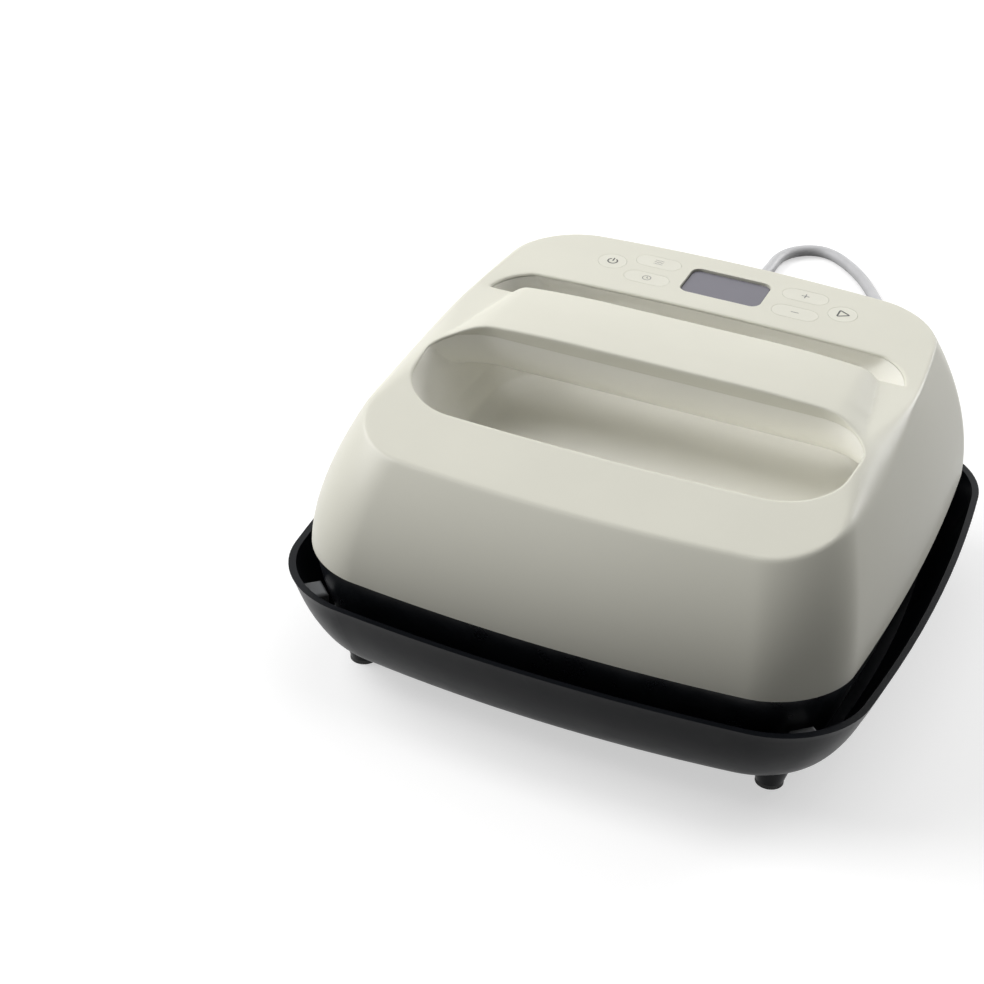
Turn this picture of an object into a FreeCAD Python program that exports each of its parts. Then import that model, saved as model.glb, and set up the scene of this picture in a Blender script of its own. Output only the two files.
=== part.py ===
import FreeCAD, Part
import Sketcher
import math
import os

from FreeCAD import Placement, Rotation, Vector

# Hand-held heat press with a display, standing in its safety base.
# Millimetres.  +Z up, +Y towards the back, origin on the floor under the middle of the base.

doc = FreeCAD.newDocument("heat_press")
sizes = doc.addObject("Spreadsheet::Sheet", "sizes")

# A text value is worked out by the sheet from the sizes above it.
DIMENSIONS = (
    # the sizes that most of the others follow
    ("shell_half", 133.5, "half width of the shell at its lower edge"),
    ("shell_depth", "=shell_half + 3.1", "half depth of the shell at its lower edge"),
    ("waist_height", 133.5, "height of the waist and of the panel's front edge"),
    # safety base
    ("tray_half", "=shell_half + 11.5", "half width of the base over its rim"),
    ("tray_corner", 47.5, "corner radius of the rim"),
    ("tray_crown", 12.0, "how far each side of the rim bows out"),
    ("tray_top", 51.3, "height of the rim"),
    ("tray_flare", 22.0, "how far the wall spreads from floor to rim"),
    ("tray_rim", 3.2, "width of the flat rim"),
    ("tray_wall", 3.0, "wall of the tray"),
    ("tray_under", 13.0, "height of the tray's underside"),
    ("tray_floor", 3.0, "thickness of the tray's floor"),
    ("foot_spread", "=shell_half - 32.5", "feet centres from the middle, both ways"),
    ("foot_top", 10.0, "radius of a foot at the tray"),
    ("foot_end", 6.5, "radius of a foot at its tip"),
    ("tip_height", 2.0, "height of the rubber tip under a foot"),
    ("rest_width", 12.0, "width of a corner rest"),
    ("rest_reach", 22.5, "length of a corner rest along the diagonal"),
    ("rest_stop", 10.0, "thickness of the stop at the outer end of a corner rest"),
    ("rest_top", 44.0, "height of the stop"),
    ("rest_start", "=sqrt(2) * (shell_half - 27.434)", "inner end of a corner rest along the diagonal"),
    # press, lower part
    ("plate_side", "=2 * shell_half - 38.4", "side of the square heat plate"),
    ("plate_thick", 12.0, "thickness of the heat plate"),
    ("plate_corner", 32.0, "corner radius of the heat plate"),
    ("plate_drop", 4.0, "how far the plate stands below the skirt"),
    ("skirt_bottom", 28.3, "height of the skirt's lower edge when the press is parked"),
    ("skirt_taper", 9.5, "how far the skirt narrows towards its lower edge"),
    ("skirt_inset", 1.6, "step from the shell in to the skirt"),
    ("skirt_wall", 3.0, "wall of the skirt"),
    ("spigot_height", 4.0, "height of the skirt's spigot inside the shell"),
    ("ledge_height", 50.0, "height of the skirt's inner ledge that carries the shield"),
    ("ledge_reach", 9.0, "width of that ledge"),
    ("shield_thick", 1.0, "heat shield sheet"),
    ("shield_side", "=2 * shell_half - 27", "side of the square heat shield"),
    ("shield_corner", 38.0, "corner radius of the heat shield"),
    ("post_radius", 4.0, "radius of the posts between plate and shield"),
    ("post_spread", "=shell_half - 37.5", "post centres from the middle, both ways"),
    ("element_radius", 4.0, "radius of the heating tube"),
    ("element_inset", 34.0, "heating tube's outer run in from the plate's edge"),
    ("blanket_thick", 5.0, "ceramic blanket"),
    # press, shell
    ("shell_corner", 43.4, "corner radius of the shell at its lower edge"),
    ("shell_bottom", 62.9, "height of the shell's lower edge"),
    ("shell_wall", 3.0, "wall of the shell and of the top cover"),
    ("lean_side", 20.2, "how far a side leans in up to the crest"),
    ("lean_front", 43.0, "how far the front leans in up to the crest"),
    ("lean_rear", 17.9, "how far the rear leans in up to the crest"),
    ("crest_rise", "=waist_height - 62.5", "height over which the walls lean in"),
    ("crown_front", 10.4, "bow of the front wall at the lower edge"),
    ("crown_rear", 10.0, "bow of the rear wall at the lower edge"),
    ("crown_side", 7.9, "bow of the side walls at the lower edge"),
    # press, top
    ("front_tilt", 12.0, "slope of the front ledge in degrees"),
    ("front_height", "=waist_height - 17.1", "height of the ledge's front edge"),
    ("front_edge", "=shell_depth - 25.1", "distance of the ledge's front edge from the middle"),
    ("panel_front", "=shell_depth - 98.6", "distance of the panel's front corners behind the middle"),
    ("panel_tilt", 3.66, "slope of the control panel in degrees"),
    ("panel_tip", 6.0, "radius of the panel's front corners"),
    ("waist_half", "=shell_half - 35.5", "half width between the two creases"),
    ("opening_half", "=shell_half - 28", "half width of the hand opening"),
    ("opening_front", "=shell_depth - 66.6", "distance of the hand opening's front lip from the middle"),
    ("opening_corner", 24.0, "corner radius of the hand opening"),
    ("groove_half", "=shell_half - 27.5", "half width of the gap behind the handle"),
    ("groove_rear", "=shell_depth - 70.1", "distance of the panel's front edge behind the middle"),
    ("groove_corner", 15.0, "corner radius of the gap behind the handle"),
    ("handle_front", 8.5, "distance of the handle's front face from the middle"),
    ("handle_rear", 40.0, "distance of the handle's rear face behind the middle"),
    ("handle_top", "=waist_height + 7.5", "height of the handle's top"),
    ("handle_edge", "=handle_top - 2.4", "height of the handle's front upper edge"),
    ("handle_roll", 22.0, "length over which a handle end rolls down"),
    ("handle_seam", "=waist_height - 1.2", "height of the seam round the handle"),
    ("handle_under", "=handle_seam - 19.8", "height of the handle's underside"),
    ("tub_bottom", "=waist_height - 47.5", "height of the hand recess's floor"),
    ("tub_wall", 2.4, "wall of the hand recess"),
    # controls
    ("display_wide", 41.0, "display window"),
    ("display_deep", 24.0, "display window"),
    ("display_corner", 4.0, "corner radius of the display window"),
    ("controls_y", "=shell_depth - 46.3", "distance of the row of controls behind the middle"),
    ("round_key", 14.4, "diameter of the power and start buttons"),
    ("round_key_x", 60.3, "distance of the round buttons from the middle"),
    ("long_key", 23.4, "length of the four oval buttons"),
    ("oval_width", 11.0, "width of the four oval buttons"),
    ("oval_x", 38.6, "distance of the oval buttons from the middle"),
    ("oval_pitch", 17.4, "distance between the two rows of oval buttons"),
    ("key_gap", 0.3, "clearance round a button"),
    ("key_travel", 0.5, "travel of a button"),
    ("key_flange", 1.2, "flange that keeps a button under the panel"),
    ("board_drop", 9.0, "control board's top below the panel's surface"),
    ("board_thick", 1.6, "circuit boards"),
    ("key_flange_thick", 1.0, "thickness of a button's flange"),
    ("switch_height", 3.5, "tact switch with its plunger"),
    ("board_half", "=round_key_x + 16.7", "half length of the control board"),
    ("board_depth", 27.0, "depth of the control board"),
    ("board_post_x", "=board_half - 4", "control board's posts from the middle"),
    ("board_post_y", "=board_depth / 2 - 4", "control board's posts before and behind the row of controls"),
    ("power_board_long", 150.0, "power board"),
    ("power_board_deep", 90.0, "power board"),
    ("power_board_lift", 6.0, "power board above the heat shield"),
    ("power_post_x", "=power_board_long / 2 - 7", "power board's posts from the middle"),
    ("power_post_y", "=power_board_deep / 2 - 7", "power board's posts from the middle"),
    # bosses that hold shell and skirt together
    ("boss_spread", "=shell_half - 24.5", "boss centres from the middle, both ways"),
    ("boss_radius", 4.5, "radius of a boss"),
    ("boss_low", 70.0, "height of a boss's lower end"),
    ("boss_tall", 24.0, "length of a boss"),
    # cord
    ("relief_neck", 6.0, "radius of the strain relief in the shell"),
    ("relief_flange", 3.0, "step of the strain relief's flange"),
    ("cord_diameter", 7.2, "mains lead"),
    ("cord_x", 60.0, "cord exit to the right of the middle"),
    ("cord_z", 85.0, "height of the cord exit"),
    ("relief_end", "=shell_depth + 25.4", "rear end of the strain relief behind the middle"),
    ("coil_x", -44.8, "middle of the stored coil"),
    ("coil_y", "=relief_end + 84", "middle of the stored coil"),
    ("coil_mid", 79.0, "diameter of the stored coil at the middle of its turns"),
    ("coil_turns", 4.0, "turns that lie side by side in the coil's lower layer"),
    ("coil_top_half", 44.9, "radius of the coil's upper layer where the lead leaves it"),
    # fits and screws
    ("fit_gap", 0.3, "clearance between pieces that seat"),
    ("screw_shank", 3.5, "screw shank"),
    ("screw_head", 7.0, "screw head"),
    ("small_shank", 2.0, "control board screw shank"),
)

for row, (alias, value, meaning) in enumerate(DIMENSIONS, start=1):
    sizes.set(f"A{row}", meaning)
    sizes.set(f"B{row}", str(value))
    sizes.setAlias(f"B{row}", alias)
doc.recompute()

NODES = []


def size(alias):
    return float(sizes.get(alias))


def node(piece, name):
    """Name a finished sub-part and list it for writing."""
    piece.Label = name
    NODES.append(piece)
    return piece


def moulding(name, shape):
    """A moulded sub-part with curved walls, made with Part's own functions."""
    piece = doc.addObject("Part::Feature", name)
    piece.Shape = shape
    return node(piece, name)


# ---------------------------------------------------------------- outlines

def unit(vector):
    return Vector(vector).multiply(1.0 / vector.Length)


def bow_radius(chord, bow):
    return (chord * chord / 4 + bow * bow) / (2 * bow)


def corner_centre(side_centre, side_radius, end_centre, end_radius, corner, toward):
    """Centre of the corner arc that touches both bowed sides from inside."""
    first = side_radius - corner
    second = end_radius - corner
    between = end_centre - side_centre
    along = (first * first - second * second + between.Length ** 2) / (2 * between.Length)
    across = math.sqrt(first * first - along * along)
    foot = side_centre + unit(between) * along
    normal = unit(between).cross(Vector(0, 0, 1))
    choices = (foot + normal * across, foot - normal * across)
    return max(choices, key=lambda point: point.dot(toward))


def crowned_outline(half, front, rear, corner, bow_side, bow_front, bow_rear, height):
    """Wire of four bowed sides with tangent corners; front and rear are y values."""
    middle = (front + rear) / 2
    side_radius = bow_radius(rear - front, bow_side)
    side = Vector(half - side_radius, middle, 0)
    points = []
    for end, bow, toward in ((front, bow_front, Vector(1, -1, 0)), (rear, bow_rear, Vector(1, 1, 0))):
        end_radius = bow_radius(2 * half, bow)
        inward = 1 if end == front else -1
        end_centre = Vector(0, end + inward * end_radius, 0)
        centre = corner_centre(side, side_radius, end_centre, end_radius, corner, toward)
        on_end = end_centre + unit(centre - end_centre) * end_radius
        on_side = side + unit(centre - side) * side_radius
        at_corner = centre + unit(unit(centre - end_centre) + unit(centre - side)) * corner
        points.append((on_end, at_corner, on_side))
    (front_end, front_corner, front_side), (rear_end, rear_corner, rear_side) = points

    def left(point):
        return Vector(-point.x, point.y, 0)

    ring = (
        (left(front_end), Vector(0, front, 0), front_end),
        (front_end, front_corner, front_side),
        (front_side, Vector(half, middle, 0), rear_side),
        (rear_side, rear_corner, rear_end),
        (rear_end, Vector(0, rear, 0), left(rear_end)),
        (left(rear_end), left(rear_corner), left(rear_side)),
        (left(rear_side), Vector(-half, middle, 0), left(front_side)),
        (left(front_side), left(front_corner), left(front_end)),
    )
    wire = Part.Wire([Part.Arc(*arc).toShape() for arc in ring])
    wire.translate(Vector(0, 0, height))
    return wire


def loft(wires):
    return Part.makeLoft(wires, True, False)


def slab_along_x(points, half=200.0):
    """Closed (y, z) outline of straight lines, extruded across the whole width."""
    corners = [Vector(-half, y, z) for y, z in points]
    face = Part.Face(Part.makePolygon(corners + corners[:1]))
    return face.extrude(Vector(2 * half, 0, 0))


def mirrored(shape):
    return shape.mirror(Vector(0, 0, 0), Vector(1, 0, 0))


# ---------------------------------------------------------------- form of the press

LEAN_POWER = 1.9
TOP = size("waist_height") + 36.5          # above everything
SHELL_LEVELS = (0.0, 0.22, 0.45, 0.66, 0.84, 1.0, 1.15)
FRONT_SLOPE = math.tan(math.radians(size("front_tilt")))
PANEL_SLOPE = math.tan(math.radians(size("panel_tilt")))


def lean_at(height):
    rise = (height - size("shell_bottom")) / size("crest_rise")
    return max(rise, 0.0) ** LEAN_POWER


def shell_section(height, inset=0.0):
    """Outline of the shell's outer face at a height, moved in by inset."""
    lean = lean_at(height)
    return crowned_outline(
        size("shell_half") - size("lean_side") * lean - inset,
        -size("shell_depth") + size("lean_front") * lean + inset,
        size("shell_depth") - size("lean_rear") * lean - inset,
        size("shell_corner") - 5.0 * lean - inset,
        size("crown_side") * (1 - 0.15 * lean),
        size("crown_front") * (1 - 0.7 * lean),
        size("crown_rear") * (1 - 0.15 * lean),
        height,
    )


def dome(inset=0.0):
    levels = [size("shell_bottom") + share * size("crest_rise") for share in SHELL_LEVELS]
    return loft([shell_section(level, inset) for level in levels])


def side_half(height, y):
    """Distance of the shell's side wall from the middle plane."""
    lean = lean_at(height)
    half = size("shell_half") - size("lean_side") * lean
    middle = (size("lean_front") - size("lean_rear")) * lean / 2
    radius = bow_radius(2 * size("shell_depth"), size("crown_side"))
    return half - (y - middle) ** 2 / (2 * radius)


def top_height(y):
    """Height of the top surface without the handle: ledge slope, level waist, panel slope."""
    if y > size("panel_front"):
        return size("waist_height") + (y - size("panel_front")) * PANEL_SLOPE
    ledge = size("front_height") + (y + size("front_edge")) * FRONT_SLOPE
    return min(ledge, size("waist_height"))


def under_top(drop):
    """Everything below the top surface lowered by drop."""
    waist_start = -size("front_edge") + (size("waist_height") - size("front_height")) / FRONT_SLOPE
    stations = (-160.0, waist_start, size("panel_front"), 160.0)
    crest = [(y, top_height(y) - drop) for y in stations]
    return slab_along_x([(-160.0, 40.0)] + crest + [(160.0, 40.0)])


WAIST_START = -size("opening_front") + 16.0
WAIST_FULL = -6.0
WAIST_FADE = size("panel_front") + 42.0


def waist_depth(y):
    """0 where the side is plain, 1 where the waist is fully drawn in."""
    if y <= size("panel_front"):
        share = (y - WAIST_START) / (WAIST_FULL - WAIST_START)
    else:
        share = (WAIST_FADE - y) / (WAIST_FADE - size("panel_front"))
    share = min(max(share, 0.0), 1.0)
    return share * share * (3 - 2 * share)


def shoulder_top(y):
    """Height of the shell's own upper edge: level at the waist, under the cover behind it."""
    lid = size("shell_wall") if y > size("panel_front") + 1 else 0.0
    return top_height(y) - lid


def crease(y):
    """Inner end of the waist at y."""
    edge = side_half(shoulder_top(y), y) + 0.8
    return edge - (edge - size("waist_half")) * waist_depth(y)


def waist_section(y, grow):
    """Section across X of what is taken off the shoulder at y."""
    depth = waist_depth(y)
    top = shoulder_top(y)
    low = top - 4.0 - 27.0 * depth
    clear = 0.8 - 0.5 * depth
    start = Vector(crease(y) - 0.4 - 0.36 * grow, y, top - 0.3 - 0.93 * grow)
    end = Vector(side_half(low, y) + clear - 0.95 * grow, y, low - 0.31 * grow)
    chord = end - start
    bulge = Vector(-chord.z, 0, chord.x) * 0.11
    middle = (start + end) * 0.5 + bulge
    beyond = end.x + 40.0
    rest = [end, Vector(beyond, y, end.z), Vector(beyond, y, TOP), Vector(start.x, y, TOP), start]
    return Part.Wire([Part.Arc(start, middle, end).toShape()] + Part.makePolygon(rest).Edges)


def waist_cut(grow=0.0):
    """Both shoulder cuts; grown inwards it also bounds the space inside the shell."""
    rear = size("panel_front")
    stations = [WAIST_START + share * (WAIST_FULL - WAIST_START) for share in (0.0, 0.21, 0.42, 0.67, 1.0)]
    stations += [(WAIST_FULL + rear) / 2, rear]
    stations += [rear + share * (WAIST_FADE - rear) for share in (0.29, 0.57, 1.0)]
    right = loft([waist_section(y, grow) for y in stations])
    return right.fuse(mirrored(right))


def waist_zone():
    """Plan of the two side areas outside the creases, where the shell reaches the top."""
    rear = size("panel_front") - 1.0
    tip = size("panel_tip")
    edge = side_half(size("waist_height"), rear)
    stations = [WAIST_START + index * (rear - WAIST_START) / 8 for index in range(9)]
    curve = Part.BSplineCurve()
    curve.interpolate([Vector(crease(y), y, 0) for y in stations])
    start = Vector(crease(WAIST_START), WAIST_START, 0)
    inner = Vector(crease(rear), rear, 0)
    front_of_tip = Vector(edge - tip, rear, 0)
    side_of_tip = Vector(edge + 0.5, rear + tip, 0)
    mid_of_tip = Vector(edge - tip + tip * 0.74, rear + tip * 0.3, 0)
    outer = 200.0
    edges = [curve.toShape(), Part.makeLine(inner, front_of_tip)]
    edges.append(Part.Arc(front_of_tip, mid_of_tip, side_of_tip).toShape())
    edges += Part.makePolygon([
        side_of_tip, Vector(outer, rear + tip, 0), Vector(outer, WAIST_START, 0), start,
    ]).Edges
    prism = Part.Face(Part.Wire(edges)).extrude(Vector(0, 0, 90.0))
    prism.translate(Vector(0, 0, TOP - 90.0))
    return prism.fuse(mirrored(prism))


def opening_prism(half, front, rear, corner_front, corner_rear, bow_rear=0.0):
    """Vertical cutter with rounded corners; the rear side may bow out."""
    edges = []
    corners = (
        (Vector(half - corner_front, front, 0), Vector(half, front + corner_front, 0),
         Vector(half - corner_front * 0.293, front + corner_front * 0.293, 0)),
        (Vector(half, rear - corner_rear, 0), Vector(half - corner_rear, rear, 0),
         Vector(half - corner_rear * 0.293, rear - corner_rear * 0.293, 0)),
    )
    (first_in, first_out, first_mid), (second_in, second_out, second_mid) = corners

    def left(point):
        return Vector(-point.x, point.y, 0)

    edges.append(Part.makeLine(left(first_in), first_in))
    edges.append(Part.Arc(first_in, first_mid, first_out).toShape())
    if second_in.sub(first_out).Length > 1e-6:
        edges.append(Part.makeLine(first_out, second_in))
    edges.append(Part.Arc(second_in, second_mid, second_out).toShape())
    if bow_rear:
        edges.append(Part.Arc(second_out, Vector(0, rear + bow_rear, 0), left(second_out)).toShape())
    else:
        edges.append(Part.makeLine(second_out, left(second_out)))
    edges.append(Part.Arc(left(second_out), left(second_mid), left(second_in)).toShape())
    if second_in.sub(first_out).Length > 1e-6:
        edges.append(Part.makeLine(left(second_in), left(first_out)))
    edges.append(Part.Arc(left(first_out), left(first_mid), left(first_in)).toShape())
    prism = Part.Face(Part.Wire(edges)).extrude(Vector(0, 0, 90.0))
    prism.translate(Vector(0, 0, TOP - 90.0))
    return prism


def handle_bar(inset=0.0):
    """Upper half of the handle: crowned along Y, rolled down at both ends, above the seam."""
    half = size("waist_half") - inset
    flat = size("waist_half") - size("handle_roll")
    front = -size("handle_front") + inset
    rear = size("handle_rear") - inset
    top = size("handle_top") - inset
    edge = size("handle_edge") - inset
    low = size("handle_seam")
    end_height = size("waist_height") - inset
    drop = top - end_height
    run = half - flat
    radius = (run * run + drop * drop) / (2 * drop)
    angle = math.asin(run / radius) / 2
    bend = Vector(flat + radius * math.sin(angle), 0, top - radius * (1 - math.cos(angle)))

    def left(point):
        return Vector(-point.x, point.y, point.z)

    end = Vector(half, 0, end_height)
    start = Vector(flat, 0, top)
    base = Vector(half, 0, low)
    across = [Part.makeLine(left(start), start), Part.Arc(start, bend, end).toShape()]
    across.append(Part.makeLine(end, base))
    across.append(Part.makeLine(base, left(base)))
    across.append(Part.makeLine(left(base), left(end)))
    across.append(Part.Arc(left(end), left(bend), left(start)).toShape())
    ends = Part.Face(Part.Wire(across)).extrude(Vector(0, 90.0, 0))
    ends.translate(Vector(0, -30.0, 0))
    crown = Part.Arc(Vector(0, front, edge), Vector(0, (front + rear) / 2, top), Vector(0, rear, edge))
    side = Part.makePolygon([
        Vector(0, rear, edge), Vector(0, rear, low), Vector(0, front, low), Vector(0, front, edge),
    ])
    profile = Part.Face(Part.Wire([crown.toShape()] + side.Edges))
    profile.translate(Vector(-150.0, 0, 0))
    return profile.extrude(Vector(300.0, 0, 0)).common(ends)


def grip_profile():
    """Rounded underside of the handle, below the seam."""
    front = -size("handle_front")
    rear = size("handle_rear")
    seam = size("handle_seam") - 0.1
    low = size("handle_under")
    middle = (front + rear) / 2
    quarter = (seam - low) * 0.3
    front_arc = Part.Arc(
        Vector(0, front, seam), Vector(0, front + 6.0, low + quarter), Vector(0, middle, low))
    rear_arc = Part.Arc(
        Vector(0, middle, low), Vector(0, rear - 6.0, low + quarter), Vector(0, rear, seam))
    lid = Part.makeLine(Vector(0, rear, seam), Vector(0, front, seam))
    face = Part.Face(Part.Wire([front_arc.toShape(), rear_arc.toShape(), lid]))
    face.translate(Vector(-150.0, 0, 0))
    return face.extrude(Vector(300.0, 0, 0))


TUB_LEVELS = (
    # height above the floor of the recess, then steps in from its mouth: side, front, rear; corner
    (0.0, 21.5, 30.0, 20.5, 26.0),
    (3.0, 14.5, 23.0, 13.5, 29.0),
    (12.0, 9.0, 16.0, 8.0, 30.0),
    (28.0, 5.5, 8.5, 4.0, 28.0),
    (38.0, 2.5, 3.5, 2.0, 26.0),
    (52.0, 0.0, 0.0, 0.0, 24.0),
)
MOUTH_LIP = 4.0      # the recess reaches this far under the opening's front lip


def recess(grow):
    """Space of the hand recess, grown outwards by grow."""
    wires = []
    for rise, side_in, front_in, rear_in, corner in TUB_LEVELS:
        half = size("opening_half") - side_in
        front = -size("opening_front") - MOUTH_LIP + front_in
        rear = size("groove_rear") - rear_in
        height = size("tub_bottom") + rise - (grow if rise == 0.0 else 0.0)
        wires.append(crowned_outline(
            half + grow, front - grow, rear + grow, corner + grow, 3.0, 3.0, 3.0, height))
    return loft(wires)


# ---------------------------------------------------------------- casings of the press

PANEL = Placement(
    Vector(0, size("controls_y"), top_height(size("controls_y"))),
    Rotation(Vector(1, 0, 0), size("panel_tilt")))


def on_panel(shape):
    """Move a shape drawn flat at the origin on to the control panel."""
    shape = shape.copy()
    shape.Placement = PANEL.multiply(shape.Placement)
    return shape


def oval(length, width, low, high):
    """Upright prism with half round ends, centred on the origin."""
    reach = (length - width) / 2
    radius = width / 2
    ends = [
        Part.Arc(Vector(reach, -radius, low), Vector(reach + radius, 0, low), Vector(reach, radius, low)),
        Part.Arc(Vector(-reach, radius, low), Vector(-reach - radius, 0, low), Vector(-reach, -radius, low)),
    ]
    right, left_end = [end.toShape() for end in ends]
    top_line = Part.makeLine(Vector(reach, radius, low), Vector(-reach, radius, low))
    bottom_line = Part.makeLine(Vector(-reach, -radius, low), Vector(reach, -radius, low))
    face = Part.Face(Part.Wire([right, top_line, left_end, bottom_line]))
    return face.extrude(Vector(0, 0, high - low))


def rounded_block(width, depth, corner, low, high, x=0.0, y=0.0):
    """Upright block with rounded vertical edges, centred on x, y."""
    block = Part.makeBox(width, depth, high - low, Vector(x - width / 2, y - depth / 2, low))
    upright = [edge for edge in block.Edges
               if abs(edge.Vertexes[0].Z - edge.Vertexes[1].Z) > (high - low) / 2]
    return block.makeFillet(corner, upright)


def disc(radius, low, high, x=0.0, y=0.0):
    return Part.makeCylinder(radius, high - low, Vector(x, y, low))


KEYS = (
    # name, x, y on the panel, round
    ("power_button", -size("round_key_x"), 0.0, True),
    ("start_button", size("round_key_x"), 0.0, True),
    ("temperature_button", -size("oval_x"), size("oval_pitch") / 2, False),
    ("timer_button", -size("oval_x"), -size("oval_pitch") / 2, False),
    ("plus_button", size("oval_x"), size("oval_pitch") / 2, False),
    ("minus_button", size("oval_x"), -size("oval_pitch") / 2, False),
)


def key_outline(is_round, grow, low, high):
    if is_round:
        return disc(size("round_key") / 2 + grow, low, high)
    return oval(size("long_key") + 2 * grow, size("oval_width") + 2 * grow, low, high)


def make_outer_shell():
    """Glossy side shell, open at the bottom and under the top cover."""
    wall = size("shell_wall")
    below_cover = under_top(wall)
    body = dome().common(under_top(0.0)).cut(waist_cut())
    zone = below_cover.fuse(waist_zone().common(under_top(0.0)))
    skin = body.common(zone)
    hollow = dome(wall).common(under_top(wall)).cut(waist_cut(wall))
    shell = skin.cut(hollow)
    relief_hole = Part.makeCylinder(
        size("relief_neck") + size("fit_gap") / 2, 60.0,
        Vector(size("cord_x"), size("shell_depth") - 40.0, size("cord_z")), Vector(0, 1, 0))
    shell = shell.cut(relief_hole)
    for x, y in BOSS_PLACES:
        shell = shell.fuse(boss_on_wall(x, y))
    for x, y in BOSS_PLACES:
        bore = disc(size("screw_shank") / 2, BOSS_LOW - 1.0, BOSS_LOW + size("boss_tall") - 3.0, x, y)
        shell = shell.cut(bore)
    return shell.removeSplitter()


def boss_on_wall(x, y):
    """Screw boss with a rib out to the corner of the shell."""
    boss = disc(size("boss_radius"), BOSS_LOW, BOSS_LOW + size("boss_tall"), x, y)
    rib = Part.makeBox(20.0, 2.4, size("boss_tall") - 4.0, Vector(0, -1.2, BOSS_LOW + 2.0))
    rib.rotate(Vector(0, 0, 0), Vector(0, 0, 1), math.degrees(math.atan2(y, x)))
    rib.translate(Vector(x, y, 0))
    return boss.fuse(rib).common(dome(size("shell_wall") / 2))


BOSS_LOW = size("boss_low")
BOSS_PLACES = [(x, y) for x in (-size("boss_spread"), size("boss_spread"))
               for y in (-size("boss_spread"), size("boss_spread"))]


def hand_openings():
    """Cutters for the hand opening in front of the handle and the gap behind it."""
    front = opening_prism(
        size("opening_half"), -size("opening_front"), -size("handle_front") + 0.01,
        size("opening_corner"), size("opening_corner") + 4.0)
    rear = opening_prism(
        size("groove_half"), size("handle_rear"), size("groove_rear") - 4.0,
        2.0, size("groove_corner"), 4.0)
    under = Part.makeBox(
        2 * (size("waist_half") - size("shell_wall")),
        size("handle_rear") + size("handle_front") + 0.02, 60.0,
        Vector(-size("waist_half") + size("shell_wall"), -size("handle_front") - 0.01, 100.0))
    return front, rear, under


def make_top_cover():
    """Ledge, handle top and control panel in one moulding."""
    wall = size("shell_wall")
    plate = dome().common(under_top(0.0)).cut(under_top(wall)).cut(waist_zone())
    front, rear, under = hand_openings()
    plate = plate.cut(front).cut(rear).cut(under)
    handle = handle_bar().cut(handle_bar(wall).fuse(
        handle_bar(wall).translated(Vector(0, 0, -1.0))))
    cover = plate.fuse(handle)
    window = rounded_block(size("display_wide"), size("display_deep"), size("display_corner"),
                           -wall - 2.0, 2.0)
    cover = cover.cut(on_panel(window))
    for name, x, y, is_round in KEYS:
        hole = key_outline(is_round, size("key_gap"), -wall - 2.0, 2.0)
        hole.translate(Vector(x, y, 0))
        cover = cover.cut(on_panel(hole))
    for x, y in BOARD_POSTS:
        post = disc(3.0, -size("board_drop"), -wall + 0.5, x, y)
        post = post.cut(disc(size("small_shank") / 2, -size("board_drop") - 1.0, -wall, x, y))
        cover = cover.fuse(on_panel(post))
    return cover


BOARD_POSTS = [(x, y) for x in (-size("board_post_x"), size("board_post_x"))
               for y in (-size("board_post_y"), size("board_post_y"))]


def make_hand_tub():
    """Liner of the hand recess, from the cover's underside down."""
    limit = under_top(size("shell_wall") + 0.1)
    outer = recess(size("tub_wall"))
    inner = recess(0.0)
    spare = waist_cut(size("shell_wall") + size("fit_gap"))
    return outer.cut(inner).common(limit).cut(spare)


def make_grip():
    """Lower half of the handle, between the walls of the recess."""
    bar = grip_profile().common(recess(-size("fit_gap")))
    half = size("waist_half") - size("shell_wall") - size("fit_gap")
    inner = bar.common(Part.makeBox(2 * half, 200.0, 60.0, Vector(-half, -100.0, 90.0)))
    whole = inner.fuse(bar.common(under_top(size("shell_wall") + 0.1)))
    return whole.cut(waist_cut(size("shell_wall") + size("fit_gap"))).removeSplitter()


def skirt_section(height, inset):
    """Outline of the dark skirt below the shell."""
    share = (size("shell_bottom") - height) / (size("shell_bottom") - size("skirt_bottom"))
    narrow = size("skirt_inset") + size("skirt_taper") * share ** 1.4 + inset
    return crowned_outline(
        size("shell_half") - narrow, -size("shell_depth") + narrow, size("shell_depth") - narrow,
        size("shell_corner") - narrow * 0.5,
        size("crown_side") * (1 - 0.4 * share), size("crown_front") * (1 - 0.4 * share),
        size("crown_rear") * (1 - 0.4 * share), height)


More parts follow.
